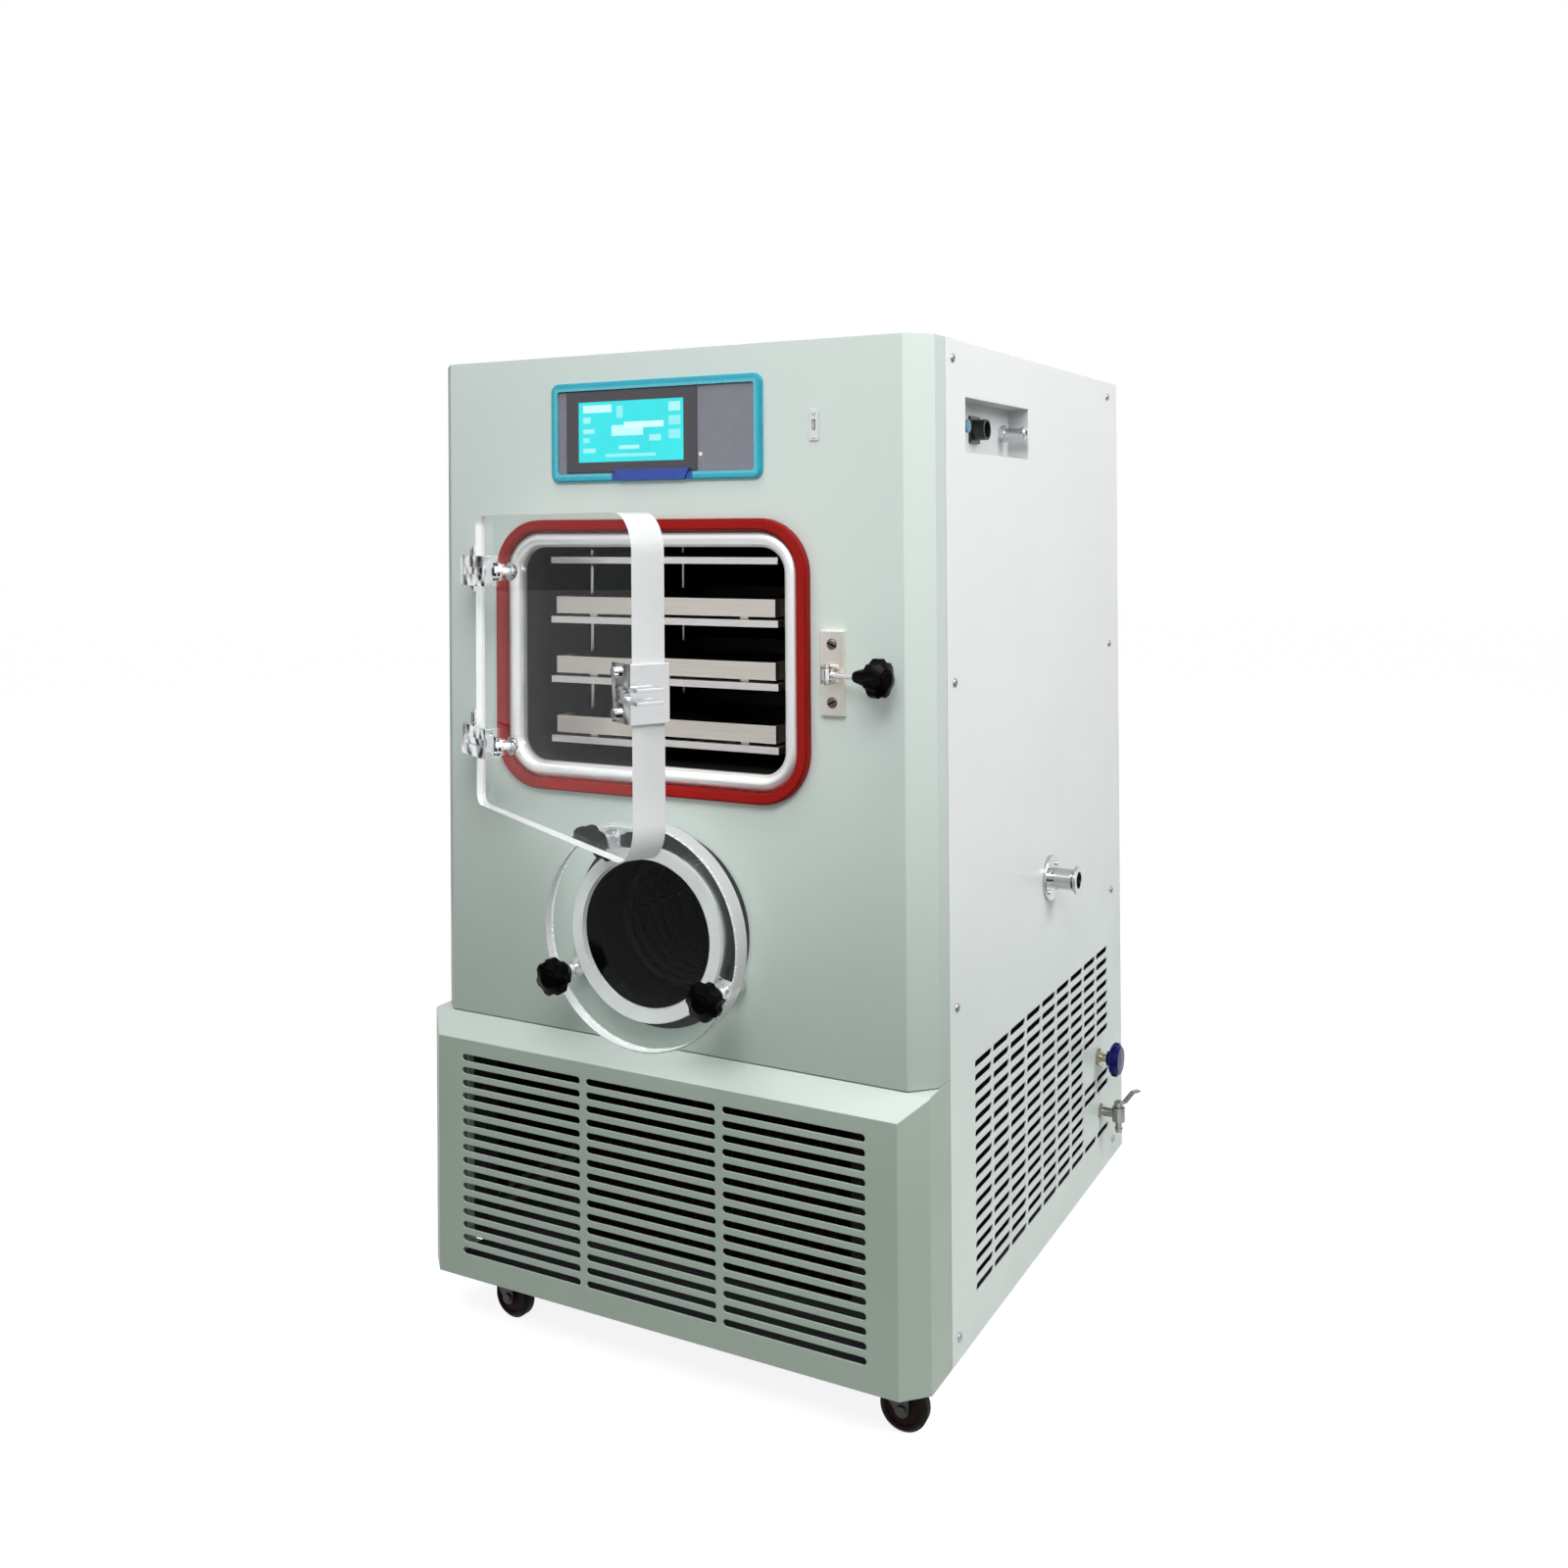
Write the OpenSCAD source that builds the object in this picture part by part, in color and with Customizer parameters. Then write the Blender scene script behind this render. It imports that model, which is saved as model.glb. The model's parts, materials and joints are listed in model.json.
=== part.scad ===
// Floor-standing pilot freeze dryer on castors: sheet-metal cabinet, square drying
// chamber with a hinged clear door, round cold trap with a clear clamped lid.
// Modelled in the cabinet's own axes (x across, y from the upper front face to the
// rear, z from the floor), then shifted so that the middle of the whole machine is
// the origin. Millimetres.

/* [Cabinet] */
// Width over the side panels
cab_w = 760; // [740:5:820]
// Depth from the upper front face to the rear panel
cab_d = 830; // [800:5:900]
// Height from the underside of the base to the top cover
cab_h = 1272; // [1264:4:1340]
// Thickness of the outer sheet metal
sheet = 2; // [1.5:0.5:2.5]
// Width of the 45 degree folds at the front corners
corner_fold = 30; // [24:1:36]
// Depth of the front panels' side returns behind the upper folds
front_return = 32; // [28:1:36]
// Joint gap between neighbouring panels
panel_gap = 1.5; // [1:0.25:2]
// Side of the square tubes of the inner frame
tube = 30; // [26:1:32]
// Across the head of a panel screw
screw_head = 12; // [10:0.5:13]
// From a side panel's front edge to its front row of screws
screw_front = 24; // [20:1:30]
// From the rear panel to the side panels' rear row of screws
screw_rear = 55; // [45:1:65]

/* [Base] */
// How far the base stands in front of the upper face
base_step = 32; // [26:1:38]
// Height of the base's vertical front
base_face_h = 329; // [325:1:335]
// Height of the sloped ledge above that front
ledge_rise = 26; // [20:1:30]
// Height of a ventilation slot
slot_h = 9.5; // [8:0.5:11]
// Distance from one row of slots to the next
slot_pitch = 17.8; // [16.5:0.1:19]
// Number of slot columns in the base front
louvre_cols = 3; // [2:1:4]
// Bare strip between two columns of the base front
louvre_gap = 10; // [8:1:16]
// Bare margin at each side of the base front
louvre_side = 42; // [36:1:50]
// From the base front's upper edge to the first slot's middle
louvre_top = 25; // [20:1:30]
// From the base's lower edge to the last slot's middle
louvre_bottom = 36; // [30:1:44]
// Length of one slot in the side grilles
grille_slot = 61; // [56:1:64]
// Bare strip between two columns of the side grilles
grille_gap = 6.5; // [5:0.5:9]
// From the upper front face to the first side slot
grille_front = 148; // [140:1:160]
// Least bare strip behind the last side slot
grille_rear = 78; // [74:1:90]
// Height of the lowest side slot above the base's lower edge
grille_low = 62; // [56:1:66]
// Height of the highest side slot above the base's lower edge
grille_high = 347; // [340:1:352]
// Length of one slot in the rear panel
rear_slot = 150; // [130:5:170]
// Height of the lowest rear slot above the base's lower edge
rear_low = 230; // [200:5:260]

/* [Chamber] */
// Chamber centre to the right of the cabinet's middle
chamber_x = -3; // [-8:1:8]
// Chamber centre above the base's lower edge
chamber_z = 868; // [864:1:874]
// Clear width of the chamber
chamber_w = 380; // [370:1:386]
// Clear height of the chamber
chamber_h = 290; // [282:1:294]
// Clear depth behind the upper front face
chamber_d = 420; // [400:5:460]
// Radius of the chamber's clear corners
chamber_r = 34; // [30:1:38]
// Thickness of the chamber walls
chamber_wall = 6; // [5:0.5:8]
// Width of the half-round rim
rim_w = 21; // [18:0.5:23]
// How far the rim stands in front of the upper face
rim_out = 8; // [6:0.5:9]
// Width of the red door gasket
gasket_w = 14.5; // [13:0.5:17]
// How far the gasket stands in front of the upper face
gasket_out = 12; // [11:0.5:14]

/* [Shelves] */
// Number of shelves
shelf_n = 4; // [4:1:4]
// How far a shelf reaches past its tray at each side
shelf_lap = 6; // [4:0.5:8]
// Thickness of a shelf
shelf_t = 9; // [7:0.5:10]
// Gap between the chamber's floor and the lowest shelf
shelf_floor = 22.5; // [20:0.5:25]
// Gap between the highest shelf and the chamber's ceiling
shelf_roof = 14; // [12:0.5:18]
// Setback of the shelves behind the upper front face
shelf_y = 30; // [24:1:36]
// Gap between the shelves and the chamber's rear wall
shelf_back = 20; // [16:1:30]
// Diameter of the shelf rods
rod_d = 10; // [8:0.5:11]
// Distance from the chamber's side wall to the middle of a shelf rod
rod_wall = 20; // [17:0.5:23]
// Gap between a tray and a shelf rod
tray_gap = 7; // [5:0.5:9]
// Height of a tray above its runners
tray_h = 23; // [20:0.5:26]
// Thickness of the tray sheet
tray_t = 1.5; // [1.2:0.1:2]
// Height of the runners under a tray
tray_foot = 4; // [3:0.5:5]

/* [Door] */
// Thickness of the clear door
door_t = 40; // [34:1:42]
// Overlap of the door beyond the gasket at the hinge side
door_lap_hinge = 1; // [0.5:0.5:4]
// Radius of the door's corners at the hinge side
door_hinge_r = 15; // [10:1:20]
// Overlap of the door beyond the gasket at the free side
door_lap_free = 19.5; // [16:0.5:22]
// Overlap of the door above the gasket
door_lap_top = 6.5; // [5:0.5:8]
// Overlap of the door below the gasket
door_lap_bottom = 19.5; // [18:0.5:22]
// Radius of the door's corners at the free side
door_r = 44; // [36:1:50]
// Opening angle at rest
door_open = 30; // [10:1:60]
// Distance from the door's edge to its hinge pin
hinge_reach = 45; // [43:0.5:50]
// Distance from the upper front face to the hinge pins
hinge_out = 30; // [28:0.5:32]
// Distance from the chamber's mid height to each hinge
hinge_z = 114; // [104:1:124]
// Height of a hinge bracket
hinge_h = 56; // [52:1:64]
// Diameter of the hinge pins
hinge_pin_d = 10; // [8:0.5:11]
// Length of the hinge arms' thick part on the door
arm_len = 58; // [50:1:64]
// Distance from the door's edge to the hinge bolts
door_bolt_in = 86; // [78:1:96]

/* [Latch] */
// Height of the latch plate
latch_h = 104; // [96:1:110]
// Width of the latch plate
latch_w = 32; // [30:0.5:34]
// Diameter of the swing bolt
latch_d = 7; // [6:0.5:8]
// Forward turn of the swing bolt at rest, from pointing right
latch_open = 15; // [10:1:40]
// Distance from the upper front face to the swing bolt's pin
latch_out = 20; // [19:0.5:21]
// Thickness of the latch plate
latch_base = 7; // [5:0.5:8]
// Gap between the two prongs of the door catch
catch_gap = 10; // [9:0.5:11]
// Length of the latch knob's conical neck
latch_neck = 28; // [22:1:32]

/* [Cold trap] */
// Trap centre to the right of the cabinet's middle
trap_x = 5; // [0:1:8]
// Trap centre above the base's lower edge
trap_z = 515; // [513:1:515]
// Clear radius of the trap's mouth
trap_r = 95; // [90:1:97]
// Thickness of the can's wall
trap_wall = 4; // [3:0.5:5]
// Clear depth of the can behind the upper front face
trap_d = 380; // [340:5:420]
// Radius of the mouth's thick collar
trap_collar_r = 114; // [112:0.5:115]
// How far the lid's gasket stands in front of the upper face
trap_out = 36; // [34:0.5:38]
// Radius of the clear lid
lid_r = 146; // [144:0.5:146]
// Thickness of the clear lid
lid_t = 28; // [24:1:30]
// Radius of the circle of clamping studs
stud_ring = 128; // [127:0.5:129]
// Diameter of the clamping studs
stud_d = 10; // [9:0.5:11]
// Angles of the clamping studs, from pointing right
stud_at = [103, 207, 333];
// Overall radius of a star knob
knob_r = 24; // [22:0.5:24]
// Number of lobes on a star knob
knob_lobes = 7; // [5:1:8]
// Diameter of the refrigerant coil's tube
coil_d = 10; // [8:0.5:11]

/* [Display] */
// Display centre to the right of the cabinet's middle
display_x = -6; // [-12:1:4]
// Display centre above the base's lower edge
display_z = 1167; // [1160:1:1174]
// Width of the display's frame
display_w = 328; // [322:1:334]
// Height of the display's frame
display_h = 134; // [130:1:138]
// Width of the frame's border
display_border = 11; // [9:0.5:12]
// How far the frame stands in front of the upper face
display_out = 6; // [5:0.5:7]
// Width of the touch screen unit
screen_w = 206; // [200:1:210]
// Height of the touch screen unit
screen_h = 108; // [104:1:108]
// Width of the lit screen
lit_w = 166; // [160:1:170]
// Height of the lit screen
lit_h = 81; // [76:1:84]
// Data port to the right of the cabinet's middle
port_x = 230; // [224:1:236]
// Data port above the base's lower edge
port_z = 1165; // [1155:1:1175]

/* [Right side fittings] */
// Distance of the recess from the upper front face
recess_y = 131; // [126:1:140]
// Length of the recess
recess_w = 246; // [240:1:250]
// Lower edge of the recess above the base's lower edge
recess_z = 1131; // [1124:1:1138]
// Height of the recess
recess_h = 71; // [68:1:74]
// Depth of the recess
recess_d = 30; // [26:1:34]
// From the recess's front end to the coupling
coupling_at = 25; // [20:1:30]
// From the recess's front end to the round socket
socket_at = 107; // [100:1:114]
// From the recess's front end to the nozzle
nozzle_at = 214; // [205:1:220]
// Vacuum port from the upper front face
vacuum_y = 457; // [440:1:470]
// Vacuum port above the base's lower edge
vacuum_z = 523; // [510:1:530]
// Bore radius of the vacuum port
vacuum_r = 12; // [10:0.5:13]
// How far the vacuum port stands out of the side panel
vacuum_out = 44; // [40:1:50]
// Vent valve from the upper front face
vent_y = 692; // [688:1:696]
// Vent valve above the base's lower edge
vent_z = 188; // [184:1:192]
// Radius of the vent valve's round handle
vent_r = 26; // [24:0.5:28]
// Drain tap from the upper front face
drain_y = 704; // [700:1:708]
// Drain tap above the base's lower edge
drain_z = 98; // [94:1:102]

/* [Castors] */
// Overall height of a castor
castor_h = 80; // [78:1:84]
// Diameter of a castor wheel
wheel_d = 62; // [58:1:62]
// Width of a castor wheel
wheel_w = 24; // [20:1:26]
// Distance from the swivel axis to the wheel's axle
castor_trail = 24; // [20:1:26]
// Distance of the swivels from the cabinet's sides
castor_side = 80; // [76:1:90]
// Distance of the front swivels behind the upper front face
castor_front = 45; // [44:1:60]
// Distance of the rear swivels from the rear panel
castor_rear = 95; // [80:1:110]
// Direction in which each wheel trails at rest, from pointing right
castor_turn = [4, -6, 78, 150];

/* [Refrigeration] */
// Compressor to the right of the cabinet's middle
compressor_x = -190; // [-220:5:-150]
// Compressor behind the upper front face
compressor_y = 600; // [560:5:640]

/* [Quality] */
// Smoothness of round parts
$fn = 64; // [48:8:96]

/* [Hidden] */
// Clearance between pieces that move against each other
clear = 0.3;
// Radial clearance of a running pin or shaft
run = 0.05;
// Radial clearance of a bolt, rod or stud in its hole
loose = 0.5;
// Root gap of a butt weld between tubes
weld = 0.2;
eps = 1;

// Cabinet
z0 = castor_h;
z1 = z0 + cab_h;
half_w = cab_w / 2;
lip = 14;
seam_y = corner_fold + front_return;
side_y = seam_y + panel_gap;
face_top = z0 + base_face_h;
base_top = face_top + ledge_rise;
flange_in = half_w - sheet - 24;
cover_x = half_w - lip - panel_gap;

// Frame
post_x = half_w - sheet - tube;
post_y = side_y + sheet;
back_y = cab_d - sheet;
pan_top = z0 + 2 * sheet;
saddle_y = [150, 300];
saddle_x = [55, 75];

// Drying chamber
ch_z = z0 + chamber_z;
rim_r = rim_w / 2 - 0.5;
rim_mid = rim_r - rim_out;
rim_path_w = chamber_w + rim_w;
rim_path_h = chamber_h + rim_w;
rim_path_r = chamber_r + rim_w / 2;
gasket_in_w = chamber_w + 2 * rim_w + 2 * clear;
gasket_in_h = chamber_h + 2 * rim_w + 2 * clear;
gasket_in_r = chamber_r + rim_w + clear;
gasket_out_w = gasket_in_w + 2 * gasket_w;
gasket_out_h = gasket_in_h + 2 * gasket_w;
gasket_out_r = gasket_in_r + gasket_w;
gasket_step = 2;
flange_lap = 12;
flange_t = 8;
chamber_low = ch_z - chamber_h / 2;
chamber_high = ch_z + chamber_h / 2;
shelf_d = chamber_d - shelf_y - shelf_back;
shelf_1 = chamber_low + shelf_floor;
shelf_pitch = (chamber_h - shelf_floor - shelf_roof - shelf_t) / (shelf_n - 1);
rod_x = chamber_w / 2 - rod_wall;
tray_w = 2 * (rod_x - rod_d / 2 - tray_gap);
shelf_w = tray_w + 2 * shelf_lap;
rod_y = [shelf_y + 105, shelf_y + shelf_d - 60];
rod_bend = rod_x + rod_d / 2 - chamber_w / 2 + chamber_r;
rod_top = chamber_high - chamber_r + sqrt(pow(chamber_r, 2) - pow(rod_bend, 2)) - clear;
ear_r = rod_d / 2 + 5;
nut_r = 9;
nut_h = 7;
tray_y = shelf_y + 4;
tray_d = shelf_d - 14;
runner_w = 12;

// Door, in its closed place
door_in = gasket_out + clear;
door_out = door_in + door_t;
door_left = chamber_x - gasket_out_w / 2 - door_lap_hinge;
door_right = chamber_x + gasket_out_w / 2 + door_lap_free;
door_low = ch_z - gasket_out_h / 2 - door_lap_bottom;
door_top = ch_z + gasket_out_h / 2 + door_lap_top;
hinge_x = door_left - hinge_reach;
hinge_zs = [ch_z - hinge_z, ch_z + hinge_z];
post_back = 22;
post_out = 11;
hinge_post_r = 8;
hinge_base = 4;
eye_r = 11;
ear_t = 5;
eye_h = hinge_h - 2 * ear_t - 2 * clear;
pin_cap = 4;
arm_t = 10;
groove_t = 2.5;
groove_h = 10;
arm_h = eye_h - 5;
tongue_t = 4;
tongue_h = 24;
bolt_x = door_left + door_bolt_in;
door_bolt_r = 4;
dome_r = 12;
dome_h = 11;
bolt_head_r = 8;

// Latch and catch
latch_eye_r = 8;
latch_pin_r = 4;
latch_ear_t = 4;
latch_eye_h = 13;
catch_t = 4;
catch_h = 66;
catch_w = 42;
catch_lip = 11;
latch_x = door_right + catch_t + latch_eye_r + 1.5;
latch_z = z0 + chamber_z - 11;
prong_t = 4;
prong_out = 10;
prong_rear = latch_out + latch_eye_r + 2;
prong_end = door_right + catch_t + 28;
knob_hub = [11, 11, 6];
latch_neck_r = [7, 15];
knob_t = 20;
knob_cap_r = 9;
knob_bore = 18;
shank_len = door_out + prong_out + 3 - latch_out;

// Cold trap
tz = z0 + trap_z;
trap_flange_r = trap_collar_r + 14;
trap_flange_t = 6;
trap_gasket_t = 6;
rubber_t = 4;
lug_y = [10, 24];
lug_r = 12;
trap_nut_h = 6;
lid_in = trap_out + clear;
lid_front = lid_in + lid_t;
lid_edge = 2;
washer_r = 12;
washer_h = 10;
knob_seat = lid_front + washer_h + clear;
stud_tip = knob_seat + knob_bore - 2;
coil_r = trap_r - coil_d / 2 - 6;
coil_first = 50;
coil_pitch = 24;
coil_n = floor((trap_d - coil_first - 40) / coil_pitch) + 1;

// Display
inner_w = display_w - 2 * display_border;
inner_h = display_h - 2 * display_border;
display_r = 12;
tab_w = 118;
tab_h = 15;
screen_x = display_x - 35;
panel_t = 3;
screen_out = display_out - 1;
screen_seat = 2;

// Right side fittings
fit_x = half_w - recess_d;
recess_mid = z0 + recess_z + recess_h / 2;
vacuum_flange_r = 33;
vacuum_end_r = 20;
vacuum_in = 30;
vent_bush_r = 8;
vent_stem_r = 4;
drain_tube_r = 7;
drain_x = 30;
keep_y = 62;
keep_z = 28;
fitting_reach = 50;

// Castors
plate_t = 4;
plate_w = 64;
king_r = 6;
race_r = 19;
race_t = 5;
leg_t = 3;
axle_r = 4;
wheel_r = wheel_d / 2;
hub_gap = 1;
race_z = z0 - plate_t - clear - race_t;
castor_xs = [half_w - castor_side, castor_side - half_w];
castor_ys = [castor_front, cab_d - castor_rear];
castor_at = [for (y = castor_ys, x = castor_xs) [x, y]];

// Refrigeration
fan_z = pan_top + 150;
fan_r = 122;
coil_y = [112, 152];
fan_y = [160, 182];
motor_y = 188;

// Rear
gland_x = -250;
gland_z = z0 + 150;
gland_r = 10;
gland_out = 18;

// Middle of the whole machine, which becomes the origin
catch_reach = sqrt(pow(prong_end - hinge_x, 2) + pow(door_out + prong_out - hinge_out, 2));
catch_angle = atan2(door_out + prong_out - hinge_out, prong_end - hinge_x);
front_reach = hinge_out + catch_reach * sin(door_open + catch_angle);
mid_x = fitting_reach / 2;
mid_y = (cab_d + gland_out - front_reach) / 2;

// ---------- shared shapes ----------

// Moves a piece from the cabinet's axes to the machine's origin.
module cab() { translate([-mid_x, -mid_y, 0]) children(); }

// Stands a drawing up in the x-z plane: its depth runs from y = from to y = to.
module upright(from, to) {
    translate([0, to, 0]) rotate([90, 0, 0]) linear_extrude(to - from) children();
}

// A cylinder along y from y = from to y = to.
module y_rod(r, from, to) { translate([0, to, 0]) rotate([90, 0, 0]) cylinder(r = r, h = to - from); }

// A cylinder along x from x = from to x = to.
module x_rod(r, from, to) { translate([from, 0, 0]) rotate([0, 90, 0]) cylinder(r = r, h = to - from); }

// Turns a profile [radius, distance] about x, pointing right.
module x_turned(points) { rotate([0, 90, 0]) rotate_extrude() polygon(points); }

// Turns a profile [radius, distance] about y, pointing to the front.
module front_turned(points) { rotate([90, 0, 0]) rotate_extrude() polygon(points); }

// A rectangle with round corners about the origin.
module round_rect(w, h, r) {
    square([w - 2 * r, h], center = true);
    square([w, h - 2 * r], center = true);
    for (sx = [-1, 1], sy = [-1, 1]) translate([sx * (w / 2 - r), sy * (h / 2 - r)]) circle(r);
}

// A slot with round ends about the origin, lying along x.
module slot_shape(len, h) {
    square([len - h, h], center = true);
    for (s = [-1, 1]) translate([s * (len - h) / 2, 0]) circle(h / 2, $fn = 24);
}

// Box between two corners.
module span(a, b) { translate(a) cube(b - a); }

// Outline of a front panel in plan: face at y = face, inset by t, open to the rear.
function fold_points(face, t) = let (
        k = t * (sqrt(2) - 1),
        side = half_w - t,
        flat = half_w - corner_fold - k,
        bend = face + corner_fold + k,
        back = t > 0 ? seam_y + eps : seam_y
    ) [[-side, back], [-side, bend], [-flat, face + t], [flat, face + t], [side, bend], [side, back]];

// ---------- cabinet ----------

// A tube of the frame across the cabinet.
module beam_x(y, z) { span([weld - post_x, y, z], [post_x - weld, y + tube, z + tube]); }

// A tube of the frame along one side, s = 1 on the right.
module beam_y(s, z) {
    x = s > 0 ? post_x : -post_x - tube;
    span([x, post_y + tube + weld, z], [x + tube, back_y - tube - weld, z + tube]);
}

// One level of the frame, with cross tubes at the given depths.
module frame_level(z, cross) {
    for (s = [-1, 1]) beam_y(s, z);
    for (y = concat([post_y, back_y - tube], cross)) beam_x(y, z);
}

// A corner post; the front ones carry a strip on which the front panel's flange lies.
module corner_post(s, y) {
    x = s > 0 ? post_x : -post_x - tube;
    span([x, y, pan_top + weld], [x + tube, y + tube, z1 - sheet]);
    if (y < cab_d / 2) span([s > 0 ? post_x : lip + clear - half_w, seam_y, pan_top + weld],
        [s > 0 ? half_w - lip - clear : -post_x, post_y - weld, z1 - sheet]);
}

// Two blocks on a cross tube, between which the trap's can lies.
module saddle(y) {
    low = base_top + tube + weld;
    high = tz - sqrt(pow(trap_r + trap_wall, 2) - pow(saddle_x[0], 2)) - weld;
    for (s = [-1, 1]) {
        x = s > 0 ? saddle_x[0] : -saddle_x[1];
        span([trap_x + x, y, low], [trap_x + x + saddle_x[1] - saddle_x[0], y + tube, high]);
    }
}

module castor_plate() {
    difference() {
        span([-plate_w / 2, -plate_w / 2, z0 - plate_t], [plate_w / 2, plate_w / 2, z0 + sheet - weld]);
        translate([0, 0, z0 - plate_t - eps]) cylinder(r = king_r + run, h = plate_t + sheet + 2 * eps);
    }
}

module chassis() {
    color([0.32, 0.34, 0.36]) cab() {
        span([sheet - half_w, post_y, z0 + sheet], [half_w - sheet, back_y, pan_top]);
        span([corner_fold - half_w, sheet + eps - base_step, z0 + sheet],
            [half_w - corner_fold, post_y - weld, pan_top]);
        for (s = [-1, 1], y = [post_y, back_y - tube]) corner_post(s, y);
        frame_level(pan_top + weld, []);
        frame_level(base_top, saddle_y);
        frame_level(chamber_low - chamber_wall - tube, saddle_y);
        frame_level(z1 - sheet - tube, []);
        for (y = saddle_y) saddle(y);
        for (p = castor_at) translate([p[0], p[1], 0]) castor_plate();
    }
}

module front_panel() {
    low = base_top + panel_gap;
    color([0.76, 0.80, 0.78]) cab() difference() {
        union() {
            translate([0, 0, low]) linear_extrude(z1 - low) difference() {
                polygon(fold_points(0, 0));
                polygon(fold_points(0, sheet));
            }
            translate([0, 0, z1 - sheet]) linear_extrude(sheet) polygon(fold_points(0, 0));
            for (x = [flange_in, sheet - half_w])
                span([x, seam_y - sheet, low], [x + half_w - sheet - flange_in, seam_y, z1 - sheet]);
        }
        translate([chamber_x, 0, ch_z]) upright(-eps, sheet + eps)
            round_rect(gasket_out_w + 2 * clear, gasket_out_h + 2 * clear, gasket_out_r + clear);
        translate([trap_x, 0, tz]) y_rod(trap_collar_r + clear, -eps, sheet + eps);
        translate([display_x, 0, z0 + display_z]) upright(-eps, sheet + eps)
            square([inner_w - 2 * screen_seat, inner_h - 2 * screen_seat], center = true);
        translate([port_x, 0, z0 + port_z]) upright(-eps, sheet + eps) square([7, 17], center = true);
    }
}

// Fills the base's outer form, or its hollow when t is the wall.
module base_form(t) {
    slope = sqrt(pow(base_step, 2) + pow(ledge_rise, 2));
    low = t > 0 ? z0 + t : z0;
    drop = ledge_rise / base_step;
    ledge_y = t > 0 ? t * (slope - base_step) / ledge_rise : 0;
    intersection() {
        translate([0, 0, low]) linear_extrude(base_top) polygon(fold_points(-base_step, t));
        rotate([90, 0, 90]) translate([0, 0, -half_w - eps]) linear_extrude(cab_w + 2 * eps) polygon([
            [-base_step - eps, low], [-base_step - eps, face_top - t * slope / base_step - drop * eps],
            [ledge_y, base_top - t], [seam_y + 2 * eps, base_top - t], [seam_y + 2 * eps, low]
        ]);
    }
}

module lower_front() {
    face_w = cab_w - 2 * corner_fold;
    slot_len = (face_w - 2 * louvre_side - (louvre_cols - 1) * louvre_gap) / louvre_cols;
    rows = floor((base_face_h - louvre_top - louvre_bottom) / slot_pitch) + 1;
    color([0.74, 0.78, 0.76]) cab() difference() {
        base_form(0);
        base_form(sheet);
        span([corner_fold - half_w, 20 - base_step, z0 - eps], [half_w - corner_fold, seam_y + eps, z0 + sheet + eps]);
        for (c = [0 : louvre_cols - 1], r = [0 : rows - 1])
            translate([(c - (louvre_cols - 1) / 2) * (slot_len + louvre_gap), 0,
                face_top - louvre_top - r * slot_pitch])
                upright(-base_step - eps, sheet + eps - base_step) slot_shape(slot_len, slot_h);
    }
}

// Slots of one side grille, leaving out those within reach of the fittings in skip.
module side_slots(skip) {
    cols = floor((cab_d - grille_front - grille_rear + grille_gap) / (grille_slot + grille_gap));
    rows = floor((grille_high - grille_low) / slot_pitch) + 1;
    for (c = [0 : cols - 1], r = [0 : rows - 1]) {
        y = grille_front + grille_slot / 2 + c * (grille_slot + grille_gap);
        z = grille_low + r * slot_pitch;
        near = [for (f = skip) if (abs(y - f[0]) < keep_y && abs(z - f[1]) < keep_z) f];
        if (len(near) == 0) translate([y, z0 + z]) slot_shape(grille_slot, slot_h);
    }
}

// A side panel standing at x = 0 with its outer face to +x: a sheet with folded edges.
module side_sheet(skip) {
    difference() {
        span([-lip, side_y, z0], [0, cab_d, z1]);
        span([-lip - eps, side_y + sheet, z0 + sheet], [-sheet, back_y, z1 - sheet]);
        rotate([90, 0, 90]) translate([0, 0, -sheet - eps]) linear_extrude(sheet + 2 * eps) side_slots(skip);
        children();
    }
}

module side_panel_right() {
    color([0.85, 0.87, 0.87]) cab() translate([half_w, 0, 0])
        side_sheet([[vent_y, vent_z], [drain_y, drain_z]]) {
            span([-sheet - eps, recess_y, z0 + recess_z], [eps, recess_y + recess_w, z0 + recess_z + recess_h]);
            translate([0, vacuum_y, z0 + vacuum_z]) x_rod(vacuum_r + 4, -sheet - eps, eps);
            translate([0, vent_y, z0 + vent_z]) x_rod(vent_bush_r + clear, -sheet - eps, eps);
            translate([0, drain_y, z0 + drain_z]) x_rod(drain_tube_r + clear, -sheet - eps, eps);
        }
}

module side_panel_left() {
    color([0.85, 0.87, 0.87]) cab() translate([-half_w, 0, 0]) mirror([1, 0, 0]) side_sheet([]) {}
}

module rear_panel() {
    color([0.80, 0.82, 0.82]) cab() difference() {
        span([-cover_x, back_y, z0], [cover_x, cab_d, z1 - sheet - panel_gap]);
        for (c = [-1, 0, 1], r = [0 : 9])
            translate([c * (rear_slot + 20), 0, z0 + rear_low + r * slot_pitch])
                upright(back_y - eps, cab_d + eps) slot_shape(rear_slot, slot_h);
        translate([gland_x, 0, gland_z]) y_rod(gland_r + clear, back_y - eps, cab_d + eps);
    }
}

module top_cover() {
    color([0.84, 0.86, 0.86]) cab() span([-cover_x, side_y, z1 - sheet], [cover_x, cab_d, z1]);
}

// Pan head of a screw whose seat lies in the x-y plane.
module pan_head() {
    r = screw_head / 2;
    rotate_extrude() polygon([[0, 0], [r, 0], [r, 1.2], [r - 1.2, 2.4], [0, 2.8]]);
}

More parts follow.
